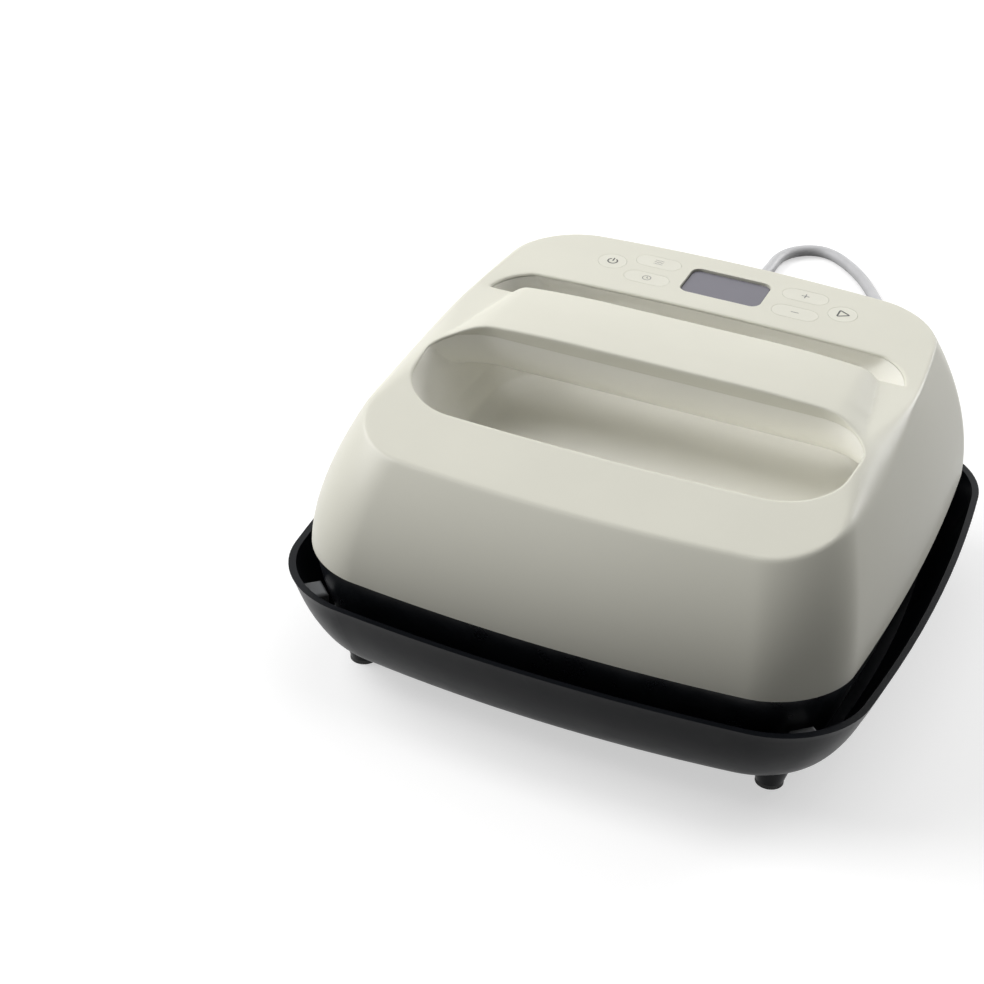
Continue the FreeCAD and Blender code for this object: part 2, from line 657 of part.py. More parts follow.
def make_skirt():
    """Dark heat resistant ring that carries the plate below the shell."""
    top = size("shell_bottom")
    low = size("skirt_bottom")
    levels = [low + (top - low) * share for share in (0.0, 0.35, 0.7, 1.0)]
    outer = loft([skirt_section(level, 0.0) for level in levels])
    inner = loft([skirt_section(level, size("skirt_wall")) for level in levels])
    ring = outer.cut(inner)
    floor_ring = outer.common(Part.makeBox(400, 400, 3.0, Vector(-200, -200, low)))
    ledge = outer.common(Part.makeBox(
        400, 400, 3.0, Vector(-200, -200, size("ledge_height") - 3.0)))
    ledge_hole = Part.Face(skirt_section(
        size("ledge_height"), size("skirt_wall") + size("ledge_reach")))
    ledge_hole = ledge_hole.extrude(Vector(0, 0, 10.0)).translated(Vector(0, 0, -5.0))
    opening = rounded_block(
        size("plate_side") + 2 * size("fit_gap"), size("plate_side") + 2 * size("fit_gap"),
        size("plate_corner") + size("fit_gap"), low - 1.0, low + 5.0)
    ring = ring.fuse(floor_ring.cut(opening)).fuse(ledge.cut(ledge_hole))
    spigot_out = shell_section(top, size("shell_wall") + size("fit_gap"))
    spigot_in = shell_section(top, size("shell_wall") + size("fit_gap") + 2.0)
    spigot = Part.Face(spigot_out).extrude(Vector(0, 0, size("spigot_height") + 3.0))
    spigot = spigot.cut(Part.Face(spigot_in).extrude(Vector(0, 0, size("spigot_height") + 3.0)))
    ring = ring.fuse(spigot.translated(Vector(0, 0, -3.0)))
    for x, y in BOSS_PLACES:
        ear = disc(size("boss_radius") + 1.0, BOSS_LOW - 8.0, BOSS_LOW - 0.1, x, y)
        web = Part.makeBox(26.0, 6.0, 7.9, Vector(0, -3.0, BOSS_LOW - 8.0))
        web.rotate(Vector(0, 0, 0), Vector(0, 0, 1), math.degrees(math.atan2(y, x)))
        web.translate(Vector(x, y, 0))
        limit = Part.Face(shell_section(top, size("shell_wall") + 3 * size("fit_gap")))
        ear = ear.fuse(web).common(limit.extrude(Vector(0, 0, 20.0)).translated(Vector(0, 0, -8.0)))
        ring = ring.fuse(ear)
        ring = ring.cut(disc(size("screw_shank") / 2 + 0.2, 50.0, 90.0, x, y))
    return ring


# ---------------------------------------------------------------- safety base

def tray_section(height, inset):
    """Outline of the base's bowl: it spreads quickly at the bottom, then rises."""
    share = (height - size("tray_under")) / (size("tray_top") - size("tray_under"))
    narrow = size("tray_flare") * (1 - max(share, 0.0) ** 0.55) + inset
    return crowned_outline(
        size("tray_half") - narrow, -size("tray_half") + narrow, size("tray_half") - narrow,
        size("tray_corner") - narrow * 0.6,
        size("tray_crown"), size("tray_crown"), size("tray_crown"), height)


def tray_inside():
    """Space inside the bowl, from its floor to the rim."""
    low = size("tray_under") + size("tray_floor")
    top = size("tray_top")
    levels = [low + (top - low) * share for share in (0.0, 0.06, 0.2, 0.5, 1.0)]
    return loft([tray_section(level, size("tray_wall")) for level in levels])


def make_tray():
    """Bowl with a flat rim on four feet."""
    low = size("tray_under")
    top = size("tray_top")
    levels = [low + (top - low) * share for share in (0.0, 0.04, 0.14, 0.35, 0.65, 1.0)]
    outer = loft([tray_section(level, 0.0) for level in levels])
    inner = tray_inside()
    mouth = Part.Face(tray_section(top, size("tray_rim")))
    mouth = mouth.extrude(Vector(0, 0, 10.0)).translated(Vector(0, 0, -0.01))
    tray = outer.cut(inner).cut(mouth)
    for x, y in FOOT_PLACES:
        foot = Part.makeCone(
            size("foot_end"), size("foot_top"), low - size("tip_height") + 1.0,
            Vector(x, y, size("tip_height")))
        tray = tray.fuse(foot)
    return tray


FOOT_PLACES = [(x, y) for x in (-size("foot_spread"), size("foot_spread"))
               for y in (-size("foot_spread"), size("foot_spread"))]


def bind(piece, values):
    for name, expression in values.items():
        piece.setExpression(name, expression)
    return piece


def cylinder(name, radius, height, x, y, z):
    piece = doc.addObject("Part::Cylinder", name)
    return bind(piece, {
        "Radius": radius, "Height": height,
        "Placement.Base.x": x, "Placement.Base.y": y, "Placement.Base.z": z})


def box(name, length, width, height, x, y, z):
    """Block whose x and y are its middle and z its underside."""
    piece = doc.addObject("Part::Box", name)
    return bind(piece, {
        "Length": length, "Width": width, "Height": height,
        "Placement.Base.x": f"{x} - ({length}) / 2",
        "Placement.Base.y": f"{y} - ({width}) / 2",
        "Placement.Base.z": z})


def fuse(name, *pieces):
    joined = doc.addObject("Part::MultiFuse", name)
    joined.Shapes = list(pieces)
    return joined


def cut(name, base, tool):
    piece = doc.addObject("Part::Cut", name)
    piece.Base = base
    piece.Tool = tool
    return piece


def group_of(name, pieces):
    group = doc.addObject("Part::Compound", name)
    group.Links = pieces
    return group


def four_fold(name, piece):
    """The piece and its mirror images across both middle planes, as separate solids."""
    across = doc.addObject("Part::Mirroring", name + "_right")
    across.Source = piece
    across.Normal = Vector(1, 0, 0)
    pair = group_of(name + "_pair", [piece, across])
    back = doc.addObject("Part::Mirroring", name + "_back")
    back.Source = pair
    back.Normal = Vector(0, 1, 0)
    return group_of(name, [pair, back])


def screw(name, x, y, seat_z, length, upward=True):
    """Pan head screw whose head bears at seat_z, and the hole that its shank needs."""
    head_height = "sizes.screw_head * 0.35"
    head_z = f"{seat_z} - {head_height}" if upward else seat_z
    shank_z = f"{seat_z} - 0.1" if upward else f"{seat_z} + 0.1 - {length}"
    head = cylinder(name + "_head", "sizes.screw_head / 2", head_height, x, y, head_z)
    shank = cylinder(name + "_shank", "sizes.screw_shank / 2 - 0.1", length, x, y, shank_z)
    hole = cylinder(name + "_hole", "sizes.screw_shank / 2", f"{length} + 1", x, y,
                    f"{shank_z} - 0.5")
    return fuse(name + "_one", head, shank), hole


def plane_of(body, role):
    return next(plane for plane in body.Origin.OriginFeatures if plane.Role == role)


def plate_body(name, width, depth, thick, corner, height, x="0", y="0"):
    """PartDesign body: a rounded plate padded up from height."""
    body = doc.addObject("PartDesign::Body", name)
    sketch = body.newObject("Sketcher::SketchObject", name + "_outline")
    sketch.AttachmentSupport = (plane_of(body, "XY_Plane"), [""])
    sketch.MapMode = "FlatFace"
    corners = [Vector(-9, -9, 0), Vector(9, -9, 0), Vector(9, 9, 0), Vector(-9, 9, 0)]
    for index in range(4):
        sketch.addGeometry(Part.LineSegment(corners[index], corners[(index + 1) % 4]), False)
    for index in range(4):
        sketch.addConstraint(Sketcher.Constraint("Coincident", index, 2, (index + 1) % 4, 1))
    for index, kind in enumerate(("Horizontal", "Vertical", "Horizontal", "Vertical")):
        sketch.addConstraint(Sketcher.Constraint(kind, index))
    sketch.addConstraint(Sketcher.Constraint("Symmetric", 0, 1, 1, 2, -1, 1))
    wide = sketch.addConstraint(Sketcher.Constraint("DistanceX", 0, 1, 0, 2, 18.0))
    deep = sketch.addConstraint(Sketcher.Constraint("DistanceY", 1, 1, 1, 2, 18.0))
    sketch.setExpression(f"Constraints[{wide}]", width)
    sketch.setExpression(f"Constraints[{deep}]", depth)
    pad = body.newObject("PartDesign::Pad", name + "_pad")
    pad.Profile = sketch
    pad.setExpression("Length", thick)
    doc.recompute()
    if corner:
        upright = [f"Edge{index}" for index, edge in enumerate(pad.Shape.Edges, start=1)
                   if abs(edge.Vertexes[0].Z - edge.Vertexes[1].Z) > 1e-6]
        rounding = body.newObject("PartDesign::Fillet", name + "_corners")
        rounding.Base = (pad, upright)
        rounding.setExpression("Radius", corner)
    bind(body, {"Placement.Base.x": x, "Placement.Base.y": y, "Placement.Base.z": height})
    return body


def on_panel_body(body, x="0", y="0", z="0"):
    """Bind a body's place to the sloping control panel, z measured from its surface."""
    rise = "tan(sizes.panel_tilt * 1 deg)"
    lean = "cos(sizes.panel_tilt * 1 deg)"
    sink = "sin(sizes.panel_tilt * 1 deg)"
    body.Placement = Placement(Vector(0, 0, 0), Rotation(Vector(1, 0, 0), size("panel_tilt")))
    return bind(body, {
        "Placement.Rotation.Angle": "sizes.panel_tilt",
        "Placement.Base.x": x,
        "Placement.Base.y": f"sizes.controls_y + ({y}) * {lean} - ({z}) * {sink}",
        "Placement.Base.z": (
            f"sizes.waist_height + (sizes.controls_y - sizes.panel_front) * {rise}"
            f" + ({y}) * {sink} + ({z}) * {lean}")})


# ---------------------------------------------------------------- build: safety base

moulding("base_tray", make_tray())

tip = cylinder("tip", "sizes.foot_end", "sizes.tip_height", "-sizes.foot_spread",
               "-sizes.foot_spread", "0")
node(four_fold("base_foot_tips", tip), "base_foot_tips")


def make_rest():
    """Corner rest: a shelf under the skirt and a stop outside it, standing on the tray's floor."""
    floor_top = size("tray_under") + size("tray_floor")
    shelf_top = size("skirt_bottom") - size("fit_gap")
    wide = size("rest_width")
    start = size("rest_start")
    shelf = Part.makeBox(
        size("rest_reach"), wide, shelf_top - floor_top, Vector(start, -wide / 2, floor_top))
    stop_start = start + size("rest_reach") - size("rest_stop")
    stop = Part.makeBox(
        size("rest_stop"), wide, size("rest_top") - floor_top, Vector(stop_start, -wide / 2, floor_top))
    upper = [edge for edge in stop.Edges
             if abs(edge.Vertexes[0].Z - size("rest_top")) < 1e-6
             and abs(edge.Vertexes[1].Z - size("rest_top")) < 1e-6]
    rest = shelf.fuse(stop.makeFillet(1.5, upper)).removeSplitter()
    bowl = tray_inside()
    solids = []
    for angle in (45.0, 135.0, 225.0, 315.0):
        copy = rest.copy()
        copy.rotate(Vector(0, 0, 0), Vector(0, 0, 1), angle)
        solids.append(copy.common(bowl))
    return Part.makeCompound(solids)


moulding("base_corner_rests", make_rest())


# ---------------------------------------------------------------- build: press, hot side

plate_z = "sizes.skirt_bottom - sizes.plate_drop"
plate_top = f"{plate_z} + sizes.plate_thick"
shield_z = "sizes.ledge_height"

node(plate_body("heat_plate", "sizes.plate_side", "sizes.plate_side", "sizes.plate_thick",
                "sizes.plate_corner", plate_z), "heat_plate")


def make_element():
    """Tubular heater lying on the plate: two loops joined at the front, ends at the rear."""
    radius = size("element_radius")
    height = size("skirt_bottom") - size("plate_drop") + size("plate_thick") + radius + 0.2
    outer = size("plate_side") / 2 - size("element_inset")
    inner = 26.0
    bend = (outer - inner) / 2
    straight = outer - bend
    tubes = []
    for side in (-1, 1):
        start = Vector(side * inner, straight + bend, height)
        turn_in = Vector(side * inner, -straight, height)
        turn_mid = Vector(side * (inner + bend), -straight - bend, height)
        turn_out = Vector(side * outer, -straight, height)
        end = Vector(side * outer, straight + bend - 12.0, height)
        wire = Part.Wire([
            Part.makeLine(start, turn_in),
            Part.Arc(turn_in, turn_mid, turn_out).toShape(),
            Part.makeLine(turn_out, end)])
        profile = Part.Wire([Part.makeCircle(radius, start, Vector(0, 1, 0))])
        tubes.append(wire.makePipeShell([profile], True, True))
    return Part.makeCompound(tubes)


moulding("heating_elements", make_element())

shield_top = f"{shield_z} + sizes.shield_thick"
post = cylinder("post", "sizes.post_radius", f"{shield_z} - ({plate_top})",
                "-sizes.post_spread", "-sizes.post_spread", plate_top)
shield_screw, shield_hole = screw("shield_screw", "-sizes.post_spread", "-sizes.post_spread",
                                  shield_top, "8", upward=False)
node(four_fold("shield_posts", cut("bored_post", post, shield_hole)), "shield_posts")
node(four_fold("shield_screws", shield_screw), "shield_screws")

BLANKET_Z = "sizes.ledge_height - sizes.blanket_thick - 0.3"
blanket = plate_body("blanket_sheet", "2 * sizes.post_spread - 3 * sizes.post_radius",
                     "sizes.plate_side - 8", "sizes.blanket_thick", "6", BLANKET_Z)
node(blanket, "ceramic_blanket")

shield = plate_body("shield_sheet", "sizes.shield_side", "sizes.shield_side",
                    "sizes.shield_thick", "sizes.shield_corner", shield_z)
node(cut("heat_shield", shield, four_fold("shield_holes", shield_hole)), "heat_shield")

cutoff = cylinder("cutoff", "8", "7.5", "0", "-30", f"{plate_top} + 0.2")
node(cutoff, "thermal_cutoff")
sensor = box("sensor", "12", "6", "4", "0", "10", f"{plate_top} + 0.2")
node(sensor, "temperature_sensor")


# ---------------------------------------------------------------- build: press, casings

moulding("skirt", make_skirt())
moulding("outer_shell", make_outer_shell())
moulding("top_cover", make_top_cover())
moulding("hand_tub", make_hand_tub())
moulding("handle_grip", make_grip())


# ---------------------------------------------------------------- build: electronics

board_z = f"{shield_top} + sizes.power_board_lift"
board_sheet = plate_body("board_sheet", "sizes.power_board_long", "sizes.power_board_deep",
                         "sizes.board_thick", "3", board_z)
board_post = cylinder("board_post", "sizes.screw_head / 2", "sizes.power_board_lift",
                      "-sizes.power_post_x", "-sizes.power_post_y", shield_top)
board_screw, board_hole = screw("board_screw", "-sizes.power_post_x", "-sizes.power_post_y",
                                f"{board_z} + sizes.board_thick", "5.5", upward=False)
node(cut("power_board", board_sheet, four_fold("board_holes", board_hole)), "power_board")
node(four_fold("power_board_posts", cut("bored_board_post", board_post, board_hole)),
     "power_board_posts")
node(four_fold("power_board_screws", board_screw), "power_board_screws")
parts_z = f"{board_z} + sizes.board_thick"
left_column = "(29 - sizes.power_board_long / 2)"
right_column = "(sizes.power_board_long / 2 - 29)"
node(box("relay", "28", "14", "16", f"{left_column} - 2", "-18", parts_z), "relay")
node(box("transformer", "30", "26", "17", f"{left_column} + 2", "22", parts_z), "transformer")
node(box("heat_sink", "36", "16", "17", "6", "-26", parts_z), "triac_heat_sink")
node(cylinder("capacitor", "6", "14", "0", "20", parts_z), "filter_capacitor")
node(box("terminal", "30", "16", "14", right_column, "32", parts_z), "mains_terminal")
node(cylinder("buzzer", "8", "8", right_column, "-20", parts_z), "buzzer")

control_sheet = plate_body("control_sheet", "2 * sizes.board_half", "sizes.board_depth",
                           "sizes.board_thick", "2", "0")
on_panel_body(control_sheet, z="-(sizes.board_drop + sizes.board_thick)")
control_screws = []
control_holes = []
for index, (side, row) in enumerate(((-1, -1), (1, -1), (1, 1), (-1, 1))):
    place = {"x": f"{side} * sizes.board_post_x", "y": f"{row} * sizes.board_post_y"}
    seat = "-(sizes.board_drop + sizes.board_thick)"
    shank = cylinder(f"control_shank_{index}", "sizes.small_shank / 2 - 0.05", "5", "0", "0", "0")
    head = cylinder(f"control_head_{index}", "sizes.small_shank", "1.4", "0", "0", "0")
    hole = cylinder(f"control_hole_{index}", "sizes.small_shank / 2", "5", "0", "0", "0")
    on_panel_body(shank, z=f"{seat} - 0.1", **place)
    on_panel_body(head, z=f"{seat} - 1.4", **place)
    on_panel_body(hole, z=f"{seat} - 1", **place)
    control_screws.append(fuse(f"control_screw_{index}", head, shank))
    control_holes.append(hole)
node(cut("control_board", control_sheet, group_of("control_holes", control_holes)), "control_board")
node(group_of("control_board_screws", control_screws), "control_board_screws")


# ---------------------------------------------------------------- build: display and buttons

lens = plate_body("display_lens", "sizes.display_wide - 2 * sizes.fit_gap",
                  "sizes.display_deep - 2 * sizes.fit_gap", "1.8",
                  "sizes.display_corner - sizes.fit_gap", "0")
on_panel_body(lens, z="-sizes.shell_wall")
node(lens, "display_lens")

frame_outer = plate_body("frame_outer", "sizes.display_wide + 6", "sizes.display_deep + 6",
                         "sizes.board_drop - sizes.shell_wall - 0.1", "2", "0")
on_panel_body(frame_outer, z="-sizes.board_drop")
frame_inner = plate_body("frame_inner", "sizes.display_wide - 3", "sizes.display_deep - 3",
                         "sizes.board_drop", "1", "0")
on_panel_body(frame_inner, z="-sizes.board_drop - 1")
node(cut("display_frame", frame_outer, frame_inner), "display_frame")

glass = plate_body("display_module", "sizes.display_wide - 4", "sizes.display_deep - 4",
                   "sizes.board_drop - sizes.shell_wall - 0.4", "0.8", "0")
on_panel_body(glass, z="-sizes.board_drop")
node(glass, "display_module")


def make_key(x, y, is_round):
    """Button: cap flush with the panel, flange under it and a stem down to its switch."""
    wall = size("shell_wall")
    cap = key_outline(is_round, 0.0, -wall - 0.2, 0.0)
    flange = key_outline(is_round, size("key_flange"), -wall - 0.2 - size("key_flange_thick"), -wall - 0.2)
    stem = disc(2.0, -size("board_drop") + size("switch_height") + size("key_travel") + 0.05, -wall - 0.2)
    key = cap.fuse(flange).fuse(stem)
    key.translate(Vector(x, y, 0))
    return on_panel(key)


for key_name, key_x, key_y, key_round in KEYS:
    moulding(key_name, make_key(key_x, key_y, key_round))


def make_switches():
    """Tact switches on the control board, one under each button."""
    low = -size("board_drop")
    switches = []
    for key_name, x, y, key_round in KEYS:
        case = Part.makeBox(6.0, 6.0, size("switch_height") - 1.0, Vector(x - 3.0, y - 3.0, low))
        plunger = disc(1.7, low + size("switch_height") - 1.0, low + size("switch_height"), x, y)
        switches.append(on_panel(case.fuse(plunger)))
    return Part.makeCompound(switches)


moulding("tact_switches", make_switches())


# ---------------------------------------------------------------- build: fasteners and inner leads

shell_screw, _ = screw("shell_screw", "-sizes.boss_spread", "-sizes.boss_spread",
                       "sizes.boss_low - 8", "18")
node(four_fold("shell_screws", shell_screw), "shell_screws")

ribbon_low = f"({parts_z} + 0.3)"
ribbon_rear = "(sizes.controls_y + 4)"
ribbon_front = "(sizes.power_board_deep / 2 - 8)"
ribbon_drop = box("ribbon_drop", "12", "1", f"sizes.waist_height - sizes.board_drop + 1 - {ribbon_low}",
                  "-14", ribbon_rear, ribbon_low)
ribbon_run = box("ribbon_run", "12", f"{ribbon_rear} - {ribbon_front}", "1", "-14",
                 f"({ribbon_rear} + {ribbon_front}) / 2", ribbon_low)
node(fuse("ribbon_cable", ribbon_drop, ribbon_run), "ribbon_cable")


# ---------------------------------------------------------------- build: mains lead

def rear_face(height, x):
    """Distance of the shell's rear wall behind the middle."""
    lean = lean_at(height)
    half = size("shell_half") - size("lean_side") * lean
    radius = bow_radius(2 * half, size("crown_rear") * (1 - 0.15 * lean))
    return size("shell_depth") - size("lean_rear") * lean - x * x / (2 * radius)


FLANGE_REACH = size("relief_neck") + size("relief_flange")
RELIEF_SEAT = rear_face(size("cord_z") + FLANGE_REACH, size("cord_x") + FLANGE_REACH)
RELIEF_SEAT -= size("shell_wall") + size("fit_gap")
RELIEF_ROOT = rear_face(size("cord_z") - FLANGE_REACH, size("cord_x") - FLANGE_REACH) + size("fit_gap")


def make_relief():
    """Tapered strain relief with a flange inside the shell and another outside."""
    x = size("cord_x")
    z = size("cord_z")
    back = Vector(0, 1, 0)
    neck = Part.makeCylinder(size("relief_neck"), RELIEF_ROOT - RELIEF_SEAT + 1.0,
                             Vector(x, RELIEF_SEAT - 0.5, z), back)
    inner = Part.makeCylinder(FLANGE_REACH, size("relief_flange"),
                              Vector(x, RELIEF_SEAT - size("relief_flange"), z), back)
    outer = Part.makeCylinder(FLANGE_REACH - 1.0, 2.0, Vector(x, RELIEF_ROOT, z), back)
    tail = Part.makeCone(size("relief_neck"), size("cord_diameter") / 2 + 0.9,
                         size("relief_end") - RELIEF_ROOT, Vector(x, RELIEF_ROOT, z), back)
    return neck.fuse(inner).fuse(outer).fuse(tail).removeSplitter()


moulding("strain_relief", make_relief())


def make_inner_lead():
    """Stretch of the lead inside the shell, from the strain relief to the mains terminal."""
    start = Vector(size("cord_x"), RELIEF_SEAT - size("relief_flange") - 0.8, size("cord_z"))
    end = Vector(size("power_board_long") / 2 - 25.0, 41.0, 68.0)
    return Part.makeCylinder(3.0, (end - start).Length, start, end - start)


moulding("inner_lead", make_inner_lead())

CORD_RADIUS = size("cord_diameter") / 2
COIL_LAYER = size("cord_diameter") + 0.1

ON_FLOOR = CORD_RADIUS + 0.1

# Route of the lead from the strain relief to the coil: down to the floor, back, round and in.
# Here y is measured from the strain relief's end.
LEAD_STEPS = (
    (60.0, 0.0, size("cord_z")), (60.0, 28.0, size("cord_z")), (59.7, 55.0, 72.0), (59.0, 78.0, 48.0),
    (57.0, 100.0, 23.0), (52.0, 126.0, 6.5), (42.0, 156.0, ON_FLOOR), (27.0, 188.0, ON_FLOOR),
    (9.0, 218.0, ON_FLOOR), (-9.8, 268.7, ON_FLOOR), (-40.1, 277.7, ON_FLOOR),
    (-65.5, 258.8, ON_FLOOR), (-67.0, 222.0, ON_FLOOR), (-71.0, 188.0, ON_FLOOR),
    (-83.0, 161.0, ON_FLOOR), (-95.1, 138.0, ON_FLOOR), (-95.1, 113.0, ON_FLOOR),
)
LEAD_ROUTE = [(x, size("relief_end") + step, z) for x, step, z in LEAD_STEPS]

# Route from the coil to the plug; here x and y are measured from where the lead leaves the coil.
PLUG_HEIGHT = 11.2
TAIL_STEPS = (
    (32.8, 0.0, ON_FLOOR + size("cord_diameter")), (40.8, 0.0, ON_FLOOR + size("cord_diameter")),
    (49.0, 1.2, 9.6), (57.0, 2.4, PLUG_HEIGHT), (65.0, 2.4, PLUG_HEIGHT),
)
TAIL_ROUTE = [(size("coil_x") + x, size("coil_y") - size("coil_top_half") + y, z)
              for x, y, z in TAIL_STEPS]
PLUG_NECK = 20.0
PLUG_LONG = 32.0
PLUG_WIDE = 27.0


def cord_path(route):
    """Straight runs joined by tangent arcs, each as large as its two runs allow."""
    points = [Vector(*point) for point in route]
    edges = []
    radii = []
    start = points[0]
    for before, corner, after in zip(points, points[1:], points[2:]):
        arriving = unit(corner - before)
        leaving = unit(after - corner)
        half_turn = arriving.getAngle(leaving) / 2
        shorter = min((corner - before).Length, (after - corner).Length)
        radius = 0.45 * shorter / math.tan(half_turn)
        reach = 0.45 * shorter
        first = corner - arriving * reach
        last = corner + leaving * reach
        inward = unit(leaving - arriving)
        middle = corner + inward * (radius / math.cos(half_turn) - radius)
        edges.append(Part.LineSegment(start, first).toShape())
        edges.append(Part.Arc(first, middle, last).toShape())
        radii.append(radius)
        start = last
    edges.append(Part.LineSegment(start, points[-1]).toShape())
    return Part.Wire(edges), radii


def make_tube(name, route):
    path, radii = cord_path(route)
    start = Vector(*route[0])
    direction = Vector(*route[1]) - start
    section = Part.Wire([Part.makeCircle(CORD_RADIUS, start, direction)])
    tube = path.makePipeShell([section], True, True)
    expected = math.pi * CORD_RADIUS ** 2 * path.Length
    print(name, "length", round(path.Length, 1), "volume ratio", round(tube.Volume / expected, 4),
          "radii", [round(radius, 1) for radius in radii])
    return tube


def make_coil():
    """Outer shape of the stored turns, with the stubs where the lead goes in and out."""
    middle = Vector(size("coil_x"), size("coil_y"), 0)
    half_band = size("coil_turns") * size("cord_diameter") / 2
    outer = size("coil_mid") / 2 + half_band
    inner = size("coil_mid") / 2 - half_band
    upper = size("coil_top_half") + CORD_RADIUS
    ring = Part.makeCylinder(outer, COIL_LAYER, middle)
    ring = ring.fuse(Part.makeCylinder(upper, 2 * COIL_LAYER, middle))
    ring = ring.cut(Part.makeCylinder(inner, 3 * COIL_LAYER, middle))
    way_in = Vector(*LEAD_ROUTE[-1])
    entry = Part.makeCylinder(CORD_RADIUS, way_in.y - middle.y,
                              Vector(way_in.x, middle.y, way_in.z), Vector(0, 1, 0))
    way_out = Vector(*TAIL_ROUTE[0])
    leave = Part.makeCylinder(CORD_RADIUS, way_out.x - middle.x,
                              Vector(middle.x, way_out.y, way_out.z), Vector(1, 0, 0))
    return ring.fuse(entry).fuse(leave)


moulding("cord", make_tube("cord", LEAD_ROUTE))
moulding("cord_coil", make_coil())
moulding("cord_tail", make_tube("cord_tail", TAIL_ROUTE))


def make_plug():
    """Moulded plug lying on its side, neck towards the cord."""
    x, y, z = TAIL_ROUTE[-1]
    neck = Part.makeCone(CORD_RADIUS + 0.9, 8.5, PLUG_NECK, Vector(x, y, z), Vector(1, 0, 0))
    block = Part.makeBox(PLUG_LONG, PLUG_WIDE, 2 * z,
                         Vector(x + PLUG_NECK - 0.5, y - PLUG_WIDE / 2, 0))
    block = block.makeFillet(5.0, [edge for edge in block.Edges
                                   if abs(edge.Vertexes[0].X - edge.Vertexes[1].X) > 1.0])
    return neck.fuse(block)


def make_pins():
    """Two flat blades and a round earth pin."""
    x, y, z = TAIL_ROUTE[-1]
    face = x + PLUG_NECK + PLUG_LONG - 0.5
    blades = [Part.makeBox(17.0, 1.5, 6.3, Vector(face, y + side * 6.35 - 0.75, z - 0.5))
              for side in (-1, 1)]
    earth = Part.makeCylinder(2.4, 20.0, Vector(face, y, z - 5.6), Vector(1, 0, 0))
    return Part.makeCompound(blades + [earth])


moulding("plug", make_plug())
moulding("plug_pins", make_pins())


# ---------------------------------------------------------------- check and write

doc.recompute()
for piece in doc.Objects:
    if "Invalid" in piece.State or "Error" in piece.State:
        raise RuntimeError(f"{piece.Name}: {piece.State}")
for piece in NODES:
    if piece.Shape.isNull() or not piece.Shape.isValid():
        raise RuntimeError(f"{piece.Label} has no valid shape")

os.makedirs("parts", exist_ok=True)
for piece in NODES:
    piece.Shape.exportStep(f"parts/{piece.Label}.step")
print(len(NODES), "nodes written")
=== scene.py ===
import math

import bmesh
import bpy
import numpy as np
from mathutils import Matrix, Vector


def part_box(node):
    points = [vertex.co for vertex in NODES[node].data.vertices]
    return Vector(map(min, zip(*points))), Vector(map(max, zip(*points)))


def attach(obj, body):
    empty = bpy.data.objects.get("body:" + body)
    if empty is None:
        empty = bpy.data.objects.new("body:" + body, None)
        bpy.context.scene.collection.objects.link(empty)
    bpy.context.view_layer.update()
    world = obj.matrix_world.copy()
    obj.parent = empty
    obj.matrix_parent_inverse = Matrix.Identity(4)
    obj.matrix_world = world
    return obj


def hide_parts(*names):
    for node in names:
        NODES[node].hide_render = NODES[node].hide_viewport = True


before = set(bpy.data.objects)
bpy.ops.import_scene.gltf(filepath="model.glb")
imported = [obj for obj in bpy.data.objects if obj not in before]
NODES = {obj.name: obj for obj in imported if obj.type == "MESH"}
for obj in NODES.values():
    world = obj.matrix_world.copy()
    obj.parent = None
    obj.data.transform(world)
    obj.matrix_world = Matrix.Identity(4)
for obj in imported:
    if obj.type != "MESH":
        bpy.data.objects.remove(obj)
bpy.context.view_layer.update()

# Metres.  +Z up, +Y towards the back, origin on the floor under the middle of the safety base.

# The control panel is a plane that rises towards the back.
PANEL_TILT = math.radians(3.66)
PANEL_FRONT_Y = 0.038
PANEL_FRONT_Z = 0.1335

MILLIMETRE = 0.001
CORD_DIAMETER = 0.0072
CORD_FLOOR = 0.0037          # height of a lead's middle line where it lies on the floor


def step_up(value, start, end):
    """Rise smoothly from 0 at start to 1 at end."""
    share = np.clip((value - start) / (end - start), 0.0, 1.0)
    return share * share * (3 - 2 * share)


# ---------------------------------------------------------------- camera

CAMERA_PLACE = Vector((0.2805, -0.8741, 0.6218))
CAMERA_AZIMUTH = math.radians(22.511)
CAMERA_ELEVATION = math.radians(31.472)
CAMERA_ROLL = math.radians(3.101)
CAMERA_LENS = 81.54          # millimetres, as is the sensor's width
SENSOR_WIDTH = 36.0


def make_camera():
    sin_a, cos_a = math.sin(CAMERA_AZIMUTH), math.cos(CAMERA_AZIMUTH)
    sin_e, cos_e = math.sin(CAMERA_ELEVATION), math.cos(CAMERA_ELEVATION)
    ahead = Vector((-sin_a * cos_e, cos_a * cos_e, -sin_e))
    level = Vector((cos_a, sin_a, 0.0))
    upright = level.cross(ahead)
    across = level * math.cos(CAMERA_ROLL) + upright * math.sin(CAMERA_ROLL)
    up = upright * math.cos(CAMERA_ROLL) - level * math.sin(CAMERA_ROLL)
    data = bpy.data.cameras.new("camera")
    data.lens = CAMERA_LENS
    data.sensor_width = SENSOR_WIDTH
    data.clip_start = 0.01
    camera = bpy.data.objects.new("camera", data)
    bpy.context.scene.collection.objects.link(camera)
    turn = Matrix((across, up, -ahead)).transposed().to_4x4()
    camera.matrix_world = Matrix.Translation(CAMERA_PLACE) @ turn
    bpy.context.scene.camera = camera


make_camera()


# ---------------------------------------------------------------- materials

# Most values of a noise texture lie between these.
NOISE_LOW = 0.3
NOISE_HIGH = 0.7


